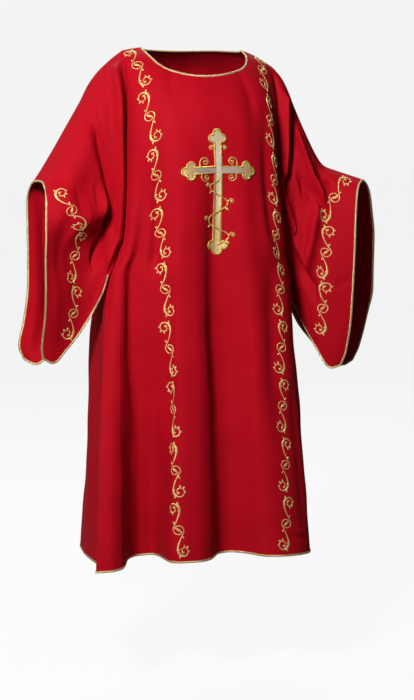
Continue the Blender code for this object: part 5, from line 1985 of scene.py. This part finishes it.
class DALMATIC_OT_cross(bpy.types.Operator):
    """Apply the budded cross to the chest, with its gold edge and a vine"""

    bl_idname = "dalmatic.cross"
    bl_label = "Applied cross"

    def execute(self, context):
        sizes = context.scene.dalmatic_sizes
        settle(cross_plate("applied_cross", sizes), "pale_lame", "cross")
        outline = budded_cross(EDGE_INSET, EDGE_STEPS)
        edge = laid_line("cross_edge", outline, EDGE_RADIUS, True, sizes.cross_thickness)
        settle(edge, "gold_braid")
        pieces, leaves = [], list(VINE_LEAVES)
        for k, (line, widths) in enumerate(vine_lines()):
            across, up = np.abs(line).T
            over = ease(OVER_SHAFT_END - across, 0.0, OVER_SHAFT_RAMP) * OVER_SHAFT
            lift = VINE_LIFT + np.where(up < OVER_BAR_END, OVER_BAR, over)
            pieces.append(laid_line(f"vine_{k}", line, widths * VINE_THREAD, False, lift))
            bead = line[-1][0] - BEAD_RADIUS, line[-1][1], 0, 2 * BEAD_RADIUS, BEAD_RADIUS
            leaves.append(bead)
        for k, leaf in enumerate(leaves):
            pieces.append(laid_leaf(f"leaf_{k}", *leaf, VINE_LIFT))
        settle(join_pieces("cross_vine", pieces), "gold_braid")
        return {"FINISHED"}


FLOOR_HEIGHT, FLOOR_SIZE = -1.60, 40
CAMERA_AZIMUTH = -19.0
CAMERA_DISTANCE = 6.0
CAMERA_HEIGHT = 0.062
CAMERA_TILT = 7.75
CAMERA_TURN = 0.2865
CAMERA_LENS, CAMERA_SENSOR = 123.43, 36
AMBIENT = 0.045
BACKDROP = 0.90
LIGHT_AIM = Vector((0, 0, -0.20))
LIGHTS = (
    # azimuth, elevation, distance, size, power
    (-36, 24, 3.3, 0.65, 135),
    (165, 35, 4.0, 2.0, 95),
    (-130, 30, 4.0, 2.0, 35),
)


class DALMATIC_OT_stage(bpy.types.Operator):
    """Set the camera, the pale floor and the soft studio light"""

    bl_idname = "dalmatic.stage"
    bl_label = "Stage"

    def execute(self, context):
        scene = context.scene
        bpy.ops.object.select_all(action="DESELECT")
        bpy.ops.mesh.primitive_plane_add(size=FLOOR_SIZE, location=(0, 0, FLOOR_HEIGHT))
        floor = context.view_layer.objects.active
        floor.name = "floor"
        bpy.ops.object.transform_apply(location=True)
        floor.data.materials.append(finish("pale_floor"))
        floor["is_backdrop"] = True
        turn = math.radians(CAMERA_AZIMUTH)
        out, ahead = CAMERA_DISTANCE * math.sin(turn), -CAMERA_DISTANCE * math.cos(turn)
        tilt = math.radians(90 - CAMERA_TILT), 0, turn - math.radians(CAMERA_TURN)
        bpy.ops.object.camera_add(location=(out, ahead, CAMERA_HEIGHT), rotation=tilt)
        camera = context.view_layer.objects.active
        camera.data.lens = CAMERA_LENS
        camera.data.sensor_width = CAMERA_SENSOR
        scene.camera = camera
        for azimuth, elevation, distance, size, power in LIGHTS:
            a, e = math.radians(azimuth), math.radians(elevation)
            away = Vector(
                (math.sin(a) * math.cos(e), -math.cos(a) * math.cos(e), math.sin(e))
            )
            bpy.ops.object.light_add(type="AREA", location=LIGHT_AIM + away * distance)
            lamp = context.view_layer.objects.active
            lamp.rotation_euler = away.to_track_quat("Z", "Y").to_euler()
            lamp.data.size = size
            lamp.data.energy = power
        scene.world = bpy.data.worlds.new("studio")
        scene.world.use_nodes = True
        tree = scene.world.node_tree
        seen = add_node(tree, "LightPath").outputs["Is Camera Ray"]
        strength = math_node(tree, "MULTIPLY_ADD", seen, BACKDROP - AMBIENT, AMBIENT)
        back = tree.nodes["Background"].inputs
        feed(tree, back["Color"], (1, 1, 1, 1))
        feed(tree, back["Strength"], strength)
        scene.view_settings.view_transform = "Standard"
        return {"FINISHED"}


class DALMATIC_PT_panel(bpy.types.Panel):
    """The dalmatic's pieces, sizes and colours"""

    bl_idname = "DALMATIC_PT_panel"
    bl_label = "Dalmatic"
    bl_space_type = "VIEW_3D"
    bl_region_type = "UI"
    bl_category = "Dalmatic"

    def draw(self, context):
        for step in STEPS:
            self.layout.operator(step.bl_idname)
        for group in (context.scene.dalmatic_sizes, context.scene.dalmatic_colours):
            box = self.layout.box()
            for name in group.__annotations__:
                box.prop(group, name)


STEPS = (
    DALMATIC_OT_body,
    DALMATIC_OT_sleeves,
    DALMATIC_OT_cords,
    DALMATIC_OT_scrolls,
    DALMATIC_OT_bands,
    DALMATIC_OT_cross,
    DALMATIC_OT_stage,
)
CLASSES = (DalmaticSizes, DalmaticColours, *STEPS, DALMATIC_PT_panel)


def register():
    for one in CLASSES:
        bpy.utils.register_class(one)
    scene = bpy.types.Scene
    scene.dalmatic_sizes = bpy.props.PointerProperty(type=DalmaticSizes)
    scene.dalmatic_colours = bpy.props.PointerProperty(type=DalmaticColours)


def unregister():
    del bpy.types.Scene.dalmatic_colours
    del bpy.types.Scene.dalmatic_sizes
    for one in reversed(CLASSES):
        bpy.utils.unregister_class(one)


def main():
    register()
    bpy.ops.dalmatic.body()
    bpy.ops.dalmatic.sleeves()
    bpy.ops.dalmatic.cords()
    bpy.ops.dalmatic.scrolls()
    bpy.ops.dalmatic.bands()
    bpy.ops.dalmatic.cross()
    bpy.ops.dalmatic.stage()
    boxes = {"cad": CAD_BOX, "visual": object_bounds()}
    {k: [list(corner) for corner in box] for k, box in boxes.items()}


if __name__ == "__main__":
    main()
